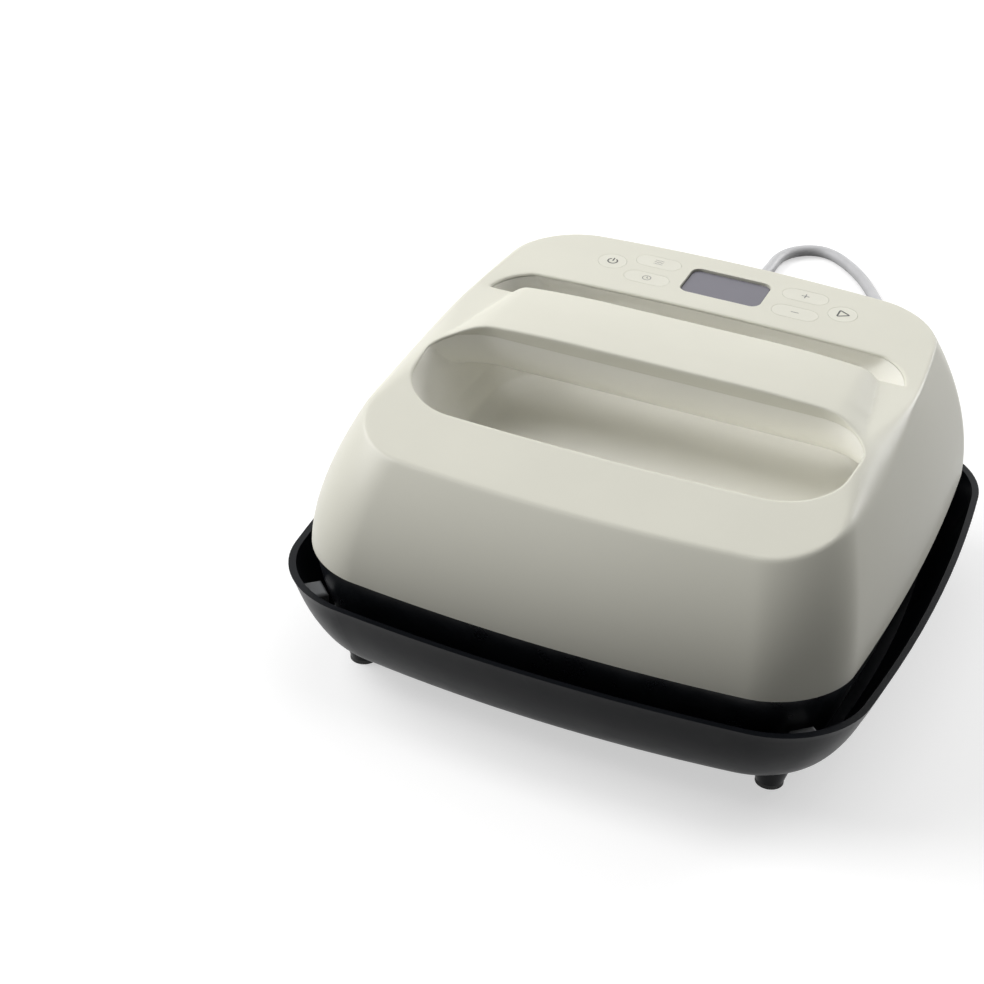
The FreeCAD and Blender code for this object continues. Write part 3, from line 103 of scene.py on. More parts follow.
class Paint:
    """A procedural material built round one Principled shader."""

    def __init__(self, name, colour, roughness, metallic=0.0):
        self.material = bpy.data.materials.new(name)
        self.material.use_nodes = True
        self.tree = self.material.node_tree
        self.shader = self.tree.nodes["Principled BSDF"]
        self.shader.inputs["Base Color"].default_value = (*colour, 1.0)
        self.shader.inputs["Roughness"].default_value = roughness
        self.shader.inputs["Metallic"].default_value = metallic
        self.place = self.tree.nodes.new("ShaderNodeTexCoord").outputs["Object"]

    def add(self, kind):
        return self.tree.nodes.new(kind)

    def link(self, source, target):
        self.tree.links.new(source, target)

    def noise(self, scale, detail, roughness=0.5):
        node = self.add("ShaderNodeTexNoise")
        node.inputs["Scale"].default_value = scale
        node.inputs["Detail"].default_value = detail
        node.inputs["Roughness"].default_value = roughness
        self.link(self.place, node.inputs["Vector"])
        return node.outputs["Fac"]

    def ramp(self, value, low, high):
        """Map a noise value to a colour between two colours."""
        node = self.add("ShaderNodeValToRGB")
        node.color_ramp.elements[0].position = NOISE_LOW
        node.color_ramp.elements[0].color = (*low, 1.0)
        node.color_ramp.elements[1].position = NOISE_HIGH
        node.color_ramp.elements[1].color = (*high, 1.0)
        self.link(value, node.inputs["Fac"])
        return node.outputs["Color"]

    def vary_colour(self, low, high, scale, detail=3.0):
        colour = self.ramp(self.noise(scale, detail), low, high)
        self.link(colour, self.shader.inputs["Base Color"])

    def vary_roughness(self, low, high, scale):
        value = self.add("ShaderNodeMapRange")
        value.inputs["From Min"].default_value = NOISE_LOW
        value.inputs["From Max"].default_value = NOISE_HIGH
        value.inputs["To Min"].default_value = low
        value.inputs["To Max"].default_value = high
        self.link(self.noise(scale, 4.0), value.inputs["Value"])
        self.link(value.outputs["Result"], self.shader.inputs["Roughness"])

    def bump(self, height, depth, strength):
        """Bump of a height field whose full range is depth metres."""
        node = self.add("ShaderNodeBump")
        node.inputs["Distance"].default_value = depth
        node.inputs["Strength"].default_value = strength
        self.link(height, node.inputs["Height"])
        self.link(node.outputs["Normal"], self.shader.inputs["Normal"])

    def grain(self, scale, depth, strength):
        self.bump(self.noise(scale, 2.0, 0.6), depth, strength)


def shade(colour, factor):
    return tuple(min(channel * factor, 1.0) for channel in colour)


CREAM = (0.735, 0.725, 0.635)
# The casing's own cream, painted lighter to stand in for light falling into the hand recess; used on the
# tub and the grip.
CREAM_PAINTED_LIGHTER = (0.86, 0.85, 0.785)


def cover_matte():
    paint = Paint("cover_matte", CREAM, 0.5)
    paint.vary_colour(shade(CREAM, 0.985), shade(CREAM, 1.015), 22.0)
    paint.vary_roughness(0.46, 0.56, 60.0)
    paint.grain(2600.0, 0.00004, 0.35)
    paint.shader.inputs["Specular IOR Level"].default_value = 0.15
    return paint.material


def shell_gloss():
    paint = Paint("shell_gloss", CREAM, 0.4)
    paint.vary_colour(shade(CREAM, 0.985), shade(CREAM, 1.01), 16.0)
    paint.vary_roughness(0.38, 0.42, 12.0)
    paint.bump(paint.noise(55.0, 2.0), 0.00002, 0.2)
    paint.shader.inputs["Specular IOR Level"].default_value = 0.25
    paint.shader.inputs["Coat Weight"].default_value = 0.05
    paint.shader.inputs["Coat Roughness"].default_value = 0.05
    return paint.material


# Painted light: the hand recess's tub and grip get a copy of the casing's cream that is painted lighter.
def tub_painted_light():
    paint = Paint("tub_painted_light", CREAM_PAINTED_LIGHTER, 0.4)
    paint.vary_colour(shade(CREAM_PAINTED_LIGHTER, 0.985), shade(CREAM_PAINTED_LIGHTER, 1.015), 18.0)
    paint.vary_roughness(0.3, 0.38, 50.0)
    paint.grain(2200.0, 0.00003, 0.25)
    return paint.material


def key_matte():
    paint = Paint("key_matte", CREAM, 0.48)
    paint.vary_colour(shade(CREAM, 0.985), shade(CREAM, 1.015), 70.0)
    paint.vary_roughness(0.44, 0.52, 200.0)
    paint.grain(2600.0, 0.00003, 0.3)
    return paint.material


BLACK = (0.0045, 0.0052, 0.0068)


def skirt_black():
    paint = Paint("skirt_black", BLACK, 0.3)
    paint.vary_colour(shade(BLACK, 0.85), shade(BLACK, 1.25), 30.0)
    paint.vary_roughness(0.26, 0.36, 80.0)
    paint.grain(1800.0, 0.00003, 0.35)
    return paint.material


def tray_black():
    paint = Paint("tray_black", BLACK, 0.34)
    paint.vary_colour(shade(BLACK, 0.85), shade(BLACK, 1.3), 26.0)
    paint.vary_roughness(0.3, 0.38, 70.0)
    paint.grain(1600.0, 0.00003, 0.3)
    paint.shader.inputs["Specular IOR Level"].default_value = 0.1
    return paint.material


def simple(name, colour, roughness, metallic=0.0):
    """Plain moulded or cast finish with slight mottling and a fine grain."""
    paint = Paint(name, colour, roughness, metallic)
    paint.vary_colour(shade(colour, 0.94), shade(colour, 1.06), 120.0)
    paint.vary_roughness(roughness - 0.06, roughness + 0.06, 240.0)
    paint.grain(900.0, 0.00003, 0.4)
    return paint.material


def coated_plate():
    """Non-stick coated plate: dark grey with a fleck."""
    colour = (0.08, 0.08, 0.083)
    paint = Paint("coated_plate", colour, 0.38, 0.35)
    paint.vary_colour(shade(colour, 0.8), shade(colour, 1.3), 900.0, 1.0)
    paint.vary_roughness(0.32, 0.44, 300.0)
    paint.grain(700.0, 0.00002, 0.4)
    return paint.material


def felt():
    colour = (0.78, 0.76, 0.7)
    paint = Paint("felt", colour, 0.95)
    paint.vary_colour(shade(colour, 0.85), shade(colour, 1.08), 260.0, 6.0)
    paint.grain(420.0, 0.0006, 0.8)
    return paint.material


def display_window():
    colour = (0.175, 0.17, 0.2)
    paint = Paint("display_window", colour, 0.2)
    paint.vary_colour(shade(colour, 0.97), shade(colour, 1.03), 40.0)
    paint.vary_roughness(0.16, 0.24, 60.0)
    paint.bump(paint.noise(90.0, 1.0), 0.00001, 0.2)
    return paint.material


def cord_sheath():
    colour = (0.54, 0.54, 0.55)
    paint = Paint("cord_sheath", colour, 0.45)
    paint.vary_colour(shade(colour, 0.96), shade(colour, 1.04), 90.0)
    paint.vary_roughness(0.4, 0.52, 150.0)
    paint.grain(1500.0, 0.00004, 0.4)
    return paint.material


def symbol_ink(name, level):
    colour = (level, level, level * 0.95)
    paint = Paint(name, colour, 0.55)
    paint.vary_colour(shade(colour, 0.9), shade(colour, 1.1), 400.0)
    paint.grain(2400.0, 0.00002, 0.3)
    return paint.material


def dress(material, *names):
    """Give CAD nodes a material."""
    for name in names:
        data = NODES[name].data
        data.materials.clear()
        data.materials.append(material)
        for face in data.polygons:
            face.material_index = 0


CORD_PAINT = cord_sheath()
dress(key_matte(), "power_button", "start_button", "temperature_button", "timer_button",
      "plus_button", "minus_button")
dress(skirt_black(), "skirt")
dress(tray_black(), "base_tray")
dress(simple("foot_rubber", (0.02, 0.02, 0.02), 0.7), "base_foot_tips")
dress(simple("rest_silicone", (0.15, 0.155, 0.16), 0.5), "base_corner_rests")
dress(coated_plate(), "heat_plate")
dress(felt(), "ceramic_blanket")
dress(display_window(), "display_lens")
dress(CORD_PAINT, "strain_relief", "inner_lead", "plug")
dress(simple("pin_metal", (0.72, 0.62, 0.4), 0.25, 1.0), "plug_pins")
dress(simple("plated_steel", (0.55, 0.55, 0.56), 0.3, 1.0), "shield_screws", "shell_screws",
      "power_board_screws", "control_board_screws", "shield_posts", "heat_shield")
dress(simple("heater_sheath", (0.22, 0.2, 0.18), 0.45, 0.8), "heating_elements")
dress(simple("bare_aluminium", (0.6, 0.6, 0.6), 0.35, 1.0), "triac_heat_sink", "thermal_cutoff",
      "temperature_sensor", "filter_capacitor")
dress(simple("board_green", (0.02, 0.11, 0.04), 0.35), "power_board", "control_board")
dress(simple("part_black", (0.02, 0.02, 0.022), 0.45), "relay", "transformer", "buzzer",
      "tact_switches", "display_frame", "power_board_posts")
dress(simple("terminal_green", (0.04, 0.2, 0.07), 0.45), "mains_terminal")
dress(simple("display_cell", (0.2, 0.2, 0.22), 0.15), "display_module")
dress(simple("ribbon_grey", (0.45, 0.45, 0.46), 0.5), "ribbon_cable")


# ---------------------------------------------------------------- mains lead

# Middle line of the lead from the strain relief round the visible bend to the coil.
LEAD_ROUTE = (
    (0.0600, 0.1620, 0.0850), (0.0600, 0.1900, 0.0850), (0.0597, 0.2170, 0.0720),
    (0.0590, 0.2400, 0.0480), (0.0570, 0.2620, 0.0230), (0.0520, 0.2880, 0.0065),
    (0.0430, 0.3180, 0.0037), (0.0300, 0.3520, 0.0037), (0.0130, 0.3850, 0.0037),
    (-0.0090, 0.4190, 0.0037), (-0.0380, 0.4421, 0.0037), (-0.0615, 0.4220, 0.0037),
    (-0.0600, 0.3840, 0.0037), (-0.0670, 0.3500, 0.0037), (-0.0820, 0.3230, 0.0037),
    (-0.0951, 0.3000, 0.0037), (-0.0951, 0.2750, 0.0037),
)
# From the coil to the plug.
TAIL_ROUTE = (
    (-0.0120, 0.2011, 0.0109), (-0.0040, 0.2011, 0.0109), (0.0042, 0.2023, 0.0096),
    (0.0122, 0.2035, 0.0112), (0.0202, 0.2035, 0.0112),
)
COIL_MIDDLE = Vector((-0.0448, 0.2460, 0.0))
COIL_OUTER = 0.0503
COIL_INNER = 0.0287
COIL_LEAVE = 0.0449          # radius at which the lead leaves the upper layer
LOWER_TURNS = 3.0
UPPER_TURNS = 2.25
CLIMB_TURNS = 0.3            # share of a turn in which the lead climbs on to the lower layer
STEPS_PER_TURN = 24


def coil_points():
    """Turns wound inwards on the floor, then outwards on top of them."""
    points = []
    total = LOWER_TURNS + UPPER_TURNS
    for step in range(1, round(total * STEPS_PER_TURN)):
        turns = step / STEPS_PER_TURN
        if turns < LOWER_TURNS:
            radius = COIL_OUTER + (COIL_INNER - COIL_OUTER) * turns / LOWER_TURNS
        else:
            radius = COIL_INNER + (COIL_LEAVE - COIL_INNER) * (turns - LOWER_TURNS) / UPPER_TURNS
        lift = step_up(turns, LOWER_TURNS - CLIMB_TURNS, LOWER_TURNS)
        angle = math.pi + turns * 2 * math.pi
        side = Vector((math.cos(angle), math.sin(angle), 0.0)) * radius
        points.append(COIL_MIDDLE + side + Vector((0, 0, CORD_FLOOR + CORD_DIAMETER * lift)))
    return points


def make_cord():
    route = [Vector(point) for point in LEAD_ROUTE] + coil_points()
    route += [Vector(point) for point in TAIL_ROUTE]
    data = bpy.data.curves.new("mains_lead", "CURVE")
    data.dimensions = "3D"
    data.bevel_depth = CORD_DIAMETER / 2
    data.bevel_resolution = 6
    data.resolution_u = 8
    data.use_fill_caps = True
    spline = data.splines.new("NURBS")
    spline.points.add(len(route) - 1)
    for point, place in zip(spline.points, route):
        point.co = (*place, 1.0)
    spline.order_u = 3
    spline.use_endpoint_u = True
    lead = bpy.data.objects.new("mains_lead", data)
    bpy.context.scene.collection.objects.link(lead)
    data.materials.append(CORD_PAINT)
    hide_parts("cord", "cord_coil", "cord_tail")
    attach(lead, "base")


make_cord()


# ---------------------------------------------------------------- form of the casings

# These fields are in millimetres.  Each is negative inside its body and positive outside,
# and every argument may be an array.

# The dome: a bowed outline that leans in with height.
SHELL_BOTTOM = 62.9
CREST_RISE = 71.0        # height above the shell's bottom at which the lean is complete
LEAN_POWER = 1.9
DOME_HALF = 133.5
DOME_END = 136.6
DOME_CORNER = 33.3
SIDE_LEAN = 20.2
FRONT_LEAN = 43.0
REAR_LEAN = 17.9
CORNER_LEAN = 3.4
SIDE_BOW = 7.9
FRONT_BOW = 10.4
REAR_BOW = 10.0
BOW_FADE = 0.15          # share of the side and rear bows lost at the full lean
FRONT_BOW_FADE = 0.7

# The upper surface without the handle.
FRONT_SLOPE = math.tan(math.radians(12.0))
PANEL_SLOPE = math.tan(PANEL_TILT)
LEVEL = 133.5            # height of both waists and of the panel's front edge
LEVEL_START = 38.0       # the panel rises behind this
FRONT_EDGE = 111.5       # the ledge is FRONT_HEIGHT high this far in front of the middle
FRONT_HEIGHT = 116.4
LEDGE_BLEND = 3.0
EDGE_ROUND = 1.3
SHOULDER_ROUND = 11.0    # extra rounding of the shoulder at the waist
SHOULDER_START = -90.0
SHOULDER_FULL = -32.0
SHOULDER_END = 34.0

# The crease between the handle's end and the waist.
CREASE_HALF = 99.0
CREASE_START = -50.0     # the crease leaves the shoulder here
CREASE_FULL = 4.0        # and has its own width from here
CREASE_TAPER = 0.18      # width lost for each millimetre behind that
TAPER_LENGTH = 36.5
CREASE_LIMIT = 106.0     # no part of the handle is wider
SHOULDER_HALF = 134.3
SHOULDER_MIDDLE = 12.5
EAR_FRONT = 36.5         # front edge of the panel's ears
EAR_SLANT = 0.1

# The handle.
HANDLE_FRONT = -8.5
HANDLE_REAR = 40.0
HANDLE_TOP = 141.0
HANDLE_CROWN = 0.9
HANDLE_RISE = -26.0      # the rims beside the opening start to rise here
HANDLE_FADE = 4.0
ROLL_START = 40.0        # the handle's top falls gently beyond this
ROLL_SHARE = 0.42
END_START = 84.0         # and steeply beyond this
END_SHARE = 0.58
SEAM = 133.7             # parting line round the handle
GRIP_DROP = 23.5         # depth of the handle below its seam
GRIP_POWER = 2.4         # 2 makes an elliptical underside, more a fuller one
GRIP_ROUND = 0.8

# The openings and the hand recess.
OPENING = (106.8, -73.2, HANDLE_FRONT, 24.0, 28.0)      # half width, front, rear, corners
GROOVE_HALF = 107.5
GROOVE_REAR = 60.3
GROOVE_BOW = 4.0
GROOVE_CORNER = 17.0
HOLLOW_ROUND = 1.0
TUB_FLOOR = 86.0
TUB_FILLET = 4.0
TUB_BOW = 3.0
TUB_LEVELS = np.array((
    # height, half width, front, rear, corner radius
    (86.0, 84.0, -47.0, 46.0, 26.0),
    (89.0, 91.0, -54.0, 53.0, 29.0),
    (98.0, 96.5, -61.0, 58.5, 30.0),
    (114.0, 101.0, -68.5, 62.5, 28.0),
    (124.0, 104.0, -73.5, 64.5, 26.0),
    (138.0, 108.0, -77.5, 66.5, 24.0),
))


def smooth_max(first, second, width):
    share = np.clip(0.5 + 0.5 * (first - second) / width, 0.0, 1.0)
    return second + (first - second) * share + width * share * (1 - share)


def smooth_min(first, second, width):
    return -smooth_max(-first, -second, width)


def rounded(side, ends, corner):
    """Distance from an outline given the distances past its sides and past its ends."""
    across = side + corner
    along = ends + corner
    outside = np.hypot(np.maximum(across, 0.0), np.maximum(along, 0.0))
    return outside + np.minimum(np.maximum(across, along), 0.0) - corner


def crowned(x, y, half, front, rear, corner, side_bow, front_bow, rear_bow):
    """Distance from an outline of four bowed sides."""
    middle = (front + rear) / 2
    side = np.abs(x) - half + side_bow * ((y - middle) / (rear - middle)) ** 2
    ahead = front + front_bow * (x / half) ** 2 - y
    behind = y - rear + rear_bow * (x / half) ** 2
    return rounded(side, np.maximum(ahead, behind), corner)


def lean_at(z):
    return (np.maximum(z - SHELL_BOTTOM, 0.0) / CREST_RISE) ** LEAN_POWER


def dome(x, y, z):
    lean = lean_at(z)
    return crowned(
        x, y, DOME_HALF - SIDE_LEAN * lean, -DOME_END + FRONT_LEAN * lean, DOME_END - REAR_LEAN * lean,
        DOME_CORNER - CORNER_LEAN * lean, SIDE_BOW * (1 - BOW_FADE * lean),
        FRONT_BOW * (1 - FRONT_BOW_FADE * lean), REAR_BOW * (1 - BOW_FADE * lean))


def plain_top(y):
    """Height of the ledge, the level waist and the panel."""
    ledge = FRONT_HEIGHT + (y + FRONT_EDGE) * FRONT_SLOPE
    front = smooth_min(ledge, LEVEL, LEDGE_BLEND)
    return np.where(y > LEVEL_START, LEVEL + (y - LEVEL_START) * PANEL_SLOPE, front)


def crease_at(y):
    """Distance of the waist's inner edge from the middle plane."""
    lean = lean_at(plain_top(y))
    edge = SHOULDER_HALF - SIDE_LEAN * lean - SIDE_BOW * ((y - SHOULDER_MIDDLE) / DOME_END) ** 2
    narrow = CREASE_TAPER * np.clip(y - CREASE_FULL, 0.0, TAPER_LENGTH)
    return edge - (edge - CREASE_HALF) * step_up(y, CREASE_START, CREASE_FULL) - narrow


def beyond_crease(x, y):
    """How far a point lies into the waist: beside the crease and in front of the panel's ears."""
    ear = EAR_FRONT + EAR_SLANT * (np.abs(x) - CREASE_HALF)
    return np.abs(x) - crease_at(y), ear - y


def top_height(x, y):
    """Height of the whole upper surface: ledge, handle, panel and both waists."""
    low = plain_top(y)
    middle = (HANDLE_FRONT + HANDLE_REAR) / 2
    reach = (HANDLE_REAR - HANDLE_FRONT) / 2
    crown = HANDLE_TOP - HANDLE_CROWN * ((np.clip(y, HANDLE_FRONT, HANDLE_REAR) - middle) / reach) ** 2
    fade = step_up(y, HANDLE_RISE, HANDLE_FRONT) * (1 - step_up(y, HANDLE_REAR, HANDLE_REAR + HANDLE_FADE))
    crease = np.minimum(crease_at(y), CREASE_LIMIT)
    gentle = np.clip((np.abs(x) - ROLL_START) / (crease - ROLL_START), 0.0, 1.0)
    steep = np.clip((np.abs(x) - END_START) / (crease - END_START), 0.0, 1.0)
    return low + (crown - low) * fade * (1 - ROLL_SHARE * gentle ** 2 - END_SHARE * steep ** 2)


def openings(x, y):
    """Distance from the nearer of the hand opening and the groove behind the handle."""
    half, front, rear, front_corner, rear_corner = OPENING
    middle = (front + rear) / 2
    corner = np.where(y < middle, front_corner, rear_corner)
    hand = rounded(np.abs(x) - half, np.abs(y - middle) - (rear - front) / 2, corner)
    edge = GROOVE_REAR + GROOVE_BOW * (1 - (x / GROOVE_HALF) ** 2)
    groove = rounded(np.abs(x) - GROOVE_HALF, y - edge, GROOVE_CORNER)
    groove = smooth_max(groove, HANDLE_REAR - y, HOLLOW_ROUND)
    return np.minimum(hand, groove)


def tub(x, y, z):
    shape = [np.interp(z, TUB_LEVELS[:, 0], TUB_LEVELS[:, column]) for column in range(1, 5)]
    wall = crowned(x, y, *shape, TUB_BOW, TUB_BOW, TUB_BOW)
    return smooth_max(wall, TUB_FLOOR - z, TUB_FILLET)


def hollow(x, y, z):
    """The hand recess without the handle and the rims that overhang it."""
    gap = openings(x, y)
    share = np.clip(gap / ((HANDLE_REAR - HANDLE_FRONT) / 2), 0.0, 1.0)
    underside = SEAM - GRIP_DROP * (1 - (1 - share) ** GRIP_POWER) ** (1 / GRIP_POWER)
    return smooth_max(tub(x, y, z), smooth_min(gap, z - underside, GRIP_ROUND), HOLLOW_ROUND)


def body(x, y, z):
    """The whole closed casing: dome under the top surface."""
    waist = step_up(y, SHOULDER_START, SHOULDER_FULL) * (1 - step_up(y, SHOULDER_FULL, SHOULDER_END))
    return smooth_max(dome(x, y, z), z - top_height(x, y), EDGE_ROUND + SHOULDER_ROUND * waist)


def casing(x, y, z):
    return smooth_max(body(x, y, z), -hollow(x, y, z), EDGE_ROUND)


# ---------------------------------------------------------------- skin of the casings

# In millimetres, but for WALL.  The grid on which the casing is sampled:
STEP = 1.4
GRID_HALF = 139.0        # sideways
GRID_REACH = 141.0       # forwards and backwards
GRID_BOTTOM = 60.2
GRID_TOP = 145.0

# How points are moved on to the surface.
PROBE = 0.05             # distance over which a field's slope is measured
LEAST_SLOPE = 0.2        # of the slope's square, where the field is nearly flat
LONGEST_MOVE = 0.6
MOVES = 2

# The lines that part the pieces.
SNAP = 0.02              # points nearer than this to a line are taken to lie on it
UPPER_PART = 100.0       # edges of the upper surface lie above this height
EDGE_STRIP = 0.7         # distance of the lines scored on both sides of an edge
COVER_BLEND = 12.0       # rounding of the cover's outline
FAR = 50.0               # stands for a line that isn't near
SEAM_REAR = 50.0         # the seam runs round the handle in front of this, along the groove behind it
SEAM_DROP = 1.3
SEAM_GAP = 0.12          # half the width of the groove along the seam
GRIP_FRONT = -45.0
GRIP_INSET = 0.6         # the grip starts this far inside the recess
INNER_WALL = 1.5         # walls nearer than this to the hollow belong to it
WALL = 0.0018            # metres

# The holes in the panel.
HOLES_FRONT = 70.0       # they lie behind this
KEYS = (
    # x, y from the row's middle line, half length, half width
    (-60.3, 0.0, 7.2, 7.2), (60.3, 0.0, 7.2, 7.2),
    (-38.6, 8.7, 11.7, 5.5), (-38.6, -8.7, 11.7, 5.5),
    (38.6, 8.7, 11.7, 5.5), (38.6, -8.7, 11.7, 5.5),
)
KEY_GAP = 0.15
CONTROLS_Y = 90.3
DISPLAY = (20.9, 12.5, 4.8)      # half sizes and corner radius


def crossed_edges(values, axis):
    """The grid's edges along an axis that cross the surface.

    Gives their lower ends, the places where they cross it, and whether they start inside it.
    """
    across = [other for other in range(3) if other != axis]
    inside = np.moveaxis(values < 0, axis, 0)
    index = np.argwhere(np.moveaxis(inside[:-1] != inside[1:], 0, axis))
    last = np.array(values.shape)[across] - 1
    index = index[((index[:, across] > 0) & (index[:, across] < last)).all(axis=1)]
    after = index.copy()
    after[:, axis] += 1
    low = values[tuple(index.T)]
    high = values[tuple(after.T)]
    spots = index.astype(float)
    spots[:, axis] += low / (low - high)
    return index, spots, low < 0


def rings_of_cells(index, axis, sizes):
    """Numbers of the four cells round each edge."""
    across = [other for other in range(3) if other != axis]
    strides = np.array((sizes[1] * sizes[2], sizes[2], 1))
    ring = []
    for first, second in ((0, 0), (-1, 0), (-1, -1), (0, -1)):
        cell = index.copy()
        cell[:, across[0]] += first
        cell[:, across[1]] += second
        ring.append(cell @ strides)
    return np.stack(ring, axis=1)


def surface_net(values, origin, step):
    """Points and four-sided faces of the zero surface of values sampled on a grid."""
    owners, spots, faces = [], [], []
    for axis in range(3):
        index, spot, starts_inside = crossed_edges(values, axis)
        ring = rings_of_cells(index, axis, values.shape)
        owners.append(ring.T.ravel())
        spots.append(np.tile(spot, (4, 1)))
        turned = starts_inside == (axis == 1)
        ring[turned] = ring[turned][:, ::-1]
        faces.append(ring)
    cells, member = np.unique(np.concatenate(owners), return_inverse=True)
    spots = np.concatenate(spots)
    count = np.bincount(member)
    points = np.stack([np.bincount(member, weights=spots[:, axis]) / count for axis in range(3)], axis=1)
    return np.array(origin) + points * step, np.searchsorted(cells, np.concatenate(faces))


def settle(points):
    """Move points on to the casing's surface."""
    for _ in range(MOVES):
        x, y, z = points.T
        value = casing(x, y, z)
        slope = np.stack((
            casing(x + PROBE, y, z) - casing(x - PROBE, y, z),
            casing(x, y + PROBE, z) - casing(x, y - PROBE, z),
            casing(x, y, z + PROBE) - casing(x, y, z - PROBE)), axis=1) / (2 * PROBE)
        size = np.maximum((slope ** 2).sum(axis=1), LEAST_SLOPE)
        move = slope * (value / size)[:, None]
        points = points - np.clip(move, -LONGEST_MOVE, LONGEST_MOVE)
    return points


def ledge_edge(x, y, z):
    """Positive on the upper surface, negative on the outer walls."""
    return (z - top_height(x, y)) - dome(x, y, z)


def rim_edge(x, y, z):
    """Positive on the upper surface, negative on the walls of the openings."""
    return body(x, y, z) + hollow(x, y, z)


def cover_edge(x, y, z):
    """Positive on the matte cover, negative on the glossy walls and waists."""
    beside, before = beyond_crease(x, y)
    return smooth_min(ledge_edge(x, y, z), -np.minimum(beside, before), COVER_BLEND)


def seam_height(x, y):
    below_edge = top_height(x, y) - SEAM_DROP
    return np.where(y < SEAM_REAR, np.minimum(SEAM, below_edge), below_edge)


def hole_edge(x, y, z):
    """Distance from the nearest hole in the panel; far away elsewhere."""
    along = (y - CONTROLS_Y) / math.cos(PANEL_TILT)
    wide, deep, corner = DISPLAY
    nearest = rounded(np.abs(x) - wide, np.abs(along) - deep, corner)
    for key_x, key_y, half, radius in KEYS:
        run = np.maximum(np.abs(x - key_x) - (half - radius), 0.0)
        nearest = np.minimum(nearest, np.hypot(run, along - key_y) - radius - KEY_GAP)
    return np.where((y > HOLES_FRONT) & (z > LEVEL), nearest, FAR)


def points_of(mesh):
    return np.array([vertex.co for vertex in mesh.verts])


def score(mesh, field):
    """Cut the faces along the line where field changes sign; it is 0 on the new points.

    Points and faces are taken in a fixed order, so that each run gives the same mesh.
    """
    points = points_of(mesh)
    values = field(*points.T)
    values[np.abs(values) < SNAP] = 0.0
    values = values.tolist()
    mesh.verts.index_update()
    crossed = [edge for edge in mesh.edges if values[edge.verts[0].index] * values[edge.verts[1].index] < 0]
    on_line = [vertex for vertex in mesh.verts if values[vertex.index] == 0.0]
    for edge in crossed:
        first, second = edge.verts
        share = values[first.index] / (values[first.index] - values[second.index])
        _, middle = bmesh.utils.edge_split(edge, first, share)
        on_line.append(middle)
    marked = set(on_line)
    touched = dict.fromkeys(face for vertex in on_line for face in vertex.link_faces)
    for face in touched:
        ends = [vertex for vertex in face.verts if vertex in marked]
        if len(ends) == 2 and not any(edge.other_vert(ends[0]) is ends[1] for edge in ends[0].link_edges):
            bmesh.utils.face_split(face, ends[0], ends[1])
    mesh.verts.index_update()


def settle_mesh(mesh):
    for vertex, place in zip(mesh.verts, settle(points_of(mesh))):
        vertex.co = place


def drop_faces(mesh, field):
    """Delete the faces on whose middles the field is negative."""
    middles = np.array([face.calc_center_median() for face in mesh.faces])
    chosen = [face for face, value in zip(mesh.faces, field(*middles.T)) if value < 0]
    bmesh.ops.delete(mesh, geom=chosen, context="FACES")


def casing_mesh():
    x = np.arange(0.0, GRID_HALF, STEP)[:, None, None]
    y = np.arange(-GRID_REACH, GRID_REACH, STEP)[None, :, None]
    z = np.arange(GRID_BOTTOM, GRID_TOP, STEP)[None, None, :]
    half = casing(x, y, z)
    values = np.concatenate((half[:0:-1], half), axis=0)
    origin = (-x.ravel()[-1], y.ravel()[0], z.ravel()[0])
    points, faces = surface_net(values, origin, STEP)
    points = settle(points)
    mesh = bmesh.new()
    vertices = [mesh.verts.new(point) for point in points]
    for face in faces:
        mesh.faces.new([vertices[index] for index in face])
    mesh.verts.index_update()
    return mesh


def above_bottom(x, y, z):
    return z - SHELL_BOTTOM


def near_top(field, shift):
    """The field less shift on the upper part of the casing, and far away below it."""
    def shifted(x, y, z):
        return np.where(z > UPPER_PART, field(x, y, z) - shift, FAR)
    return shifted


def build_casing():
    mesh = casing_mesh()
    score(mesh, above_bottom)
    drop_faces(mesh, above_bottom)
    for field in (rim_edge, ledge_edge):
        score(mesh, near_top(field, 0.0))
        settle_mesh(mesh)
        for shift in (-EDGE_STRIP, EDGE_STRIP):
            score(mesh, near_top(field, shift))
        settle_mesh(mesh)
    score(mesh, near_top(cover_edge, 0.0))
    return mesh


def is_inner(x, y, z):
    return hollow(x, y, z) < INNER_WALL


def under_handle(y):
    return (y > GRIP_FRONT) & (y < SEAM_REAR)


def parting(shift):
    """Height above the seam less shift on the inner walls, and far away elsewhere."""
    def height(x, y, z):
        return np.where(is_inner(x, y, z), z - seam_height(x, y) - shift, FAR)
    return height


def grip_edge(x, y, z):
    """Positive on the liner and negative on the grip, both below the seam; far away elsewhere."""
    near = is_inner(x, y, z) & (z < seam_height(x, y)) & under_handle(y)
    return np.where(near, tub(x, y, z) + GRIP_INSET, FAR)


def split_casing(mesh):
    """Score the seams, cut the panel's holes, and give the kind of each face."""
    for shift in (-SEAM_GAP, SEAM_GAP):
        score(mesh, parting(shift))
    score(mesh, grip_edge)
    score(mesh, hole_edge)
    drop_faces(mesh, hole_edge)
    middles = np.array([face.calc_center_median() for face in mesh.faces])
    x, y, z = middles.T
    above = z - seam_height(x, y)
    inner = is_inner(x, y, z)
    upper = above > SEAM_GAP / 2
    lower = inner & (above < -SEAM_GAP / 2)
    cover = ((cover_edge(x, y, z) > 0) | inner) & upper
    between = inner & ~lower & ~upper
    grip = lower & (tub(x, y, z) < -GRIP_INSET) & under_handle(y)
    return np.select((between, grip, lower, cover), ("gap", "grip", "tub", "cover"), "shell")


def faces_of_kind(mesh, kinds, kind, name):
    """Mesh data, in metres, of the faces of one kind."""
    copy = mesh.copy()
    copy.faces.ensure_lookup_table()
    doomed = [face for face, own in zip(copy.faces, kinds) if own != kind]
    bmesh.ops.delete(copy, geom=doomed, context="FACES")
    for edge in copy.edges:
        edge.smooth = len(edge.link_faces) > 1
    for face in copy.faces:
        face.smooth = True
    bmesh.ops.scale(copy, vec=(MILLIMETRE,) * 3, verts=copy.verts)
    data = bpy.data.meshes.new(name)
    copy.to_mesh(data)
    copy.free()
    return data


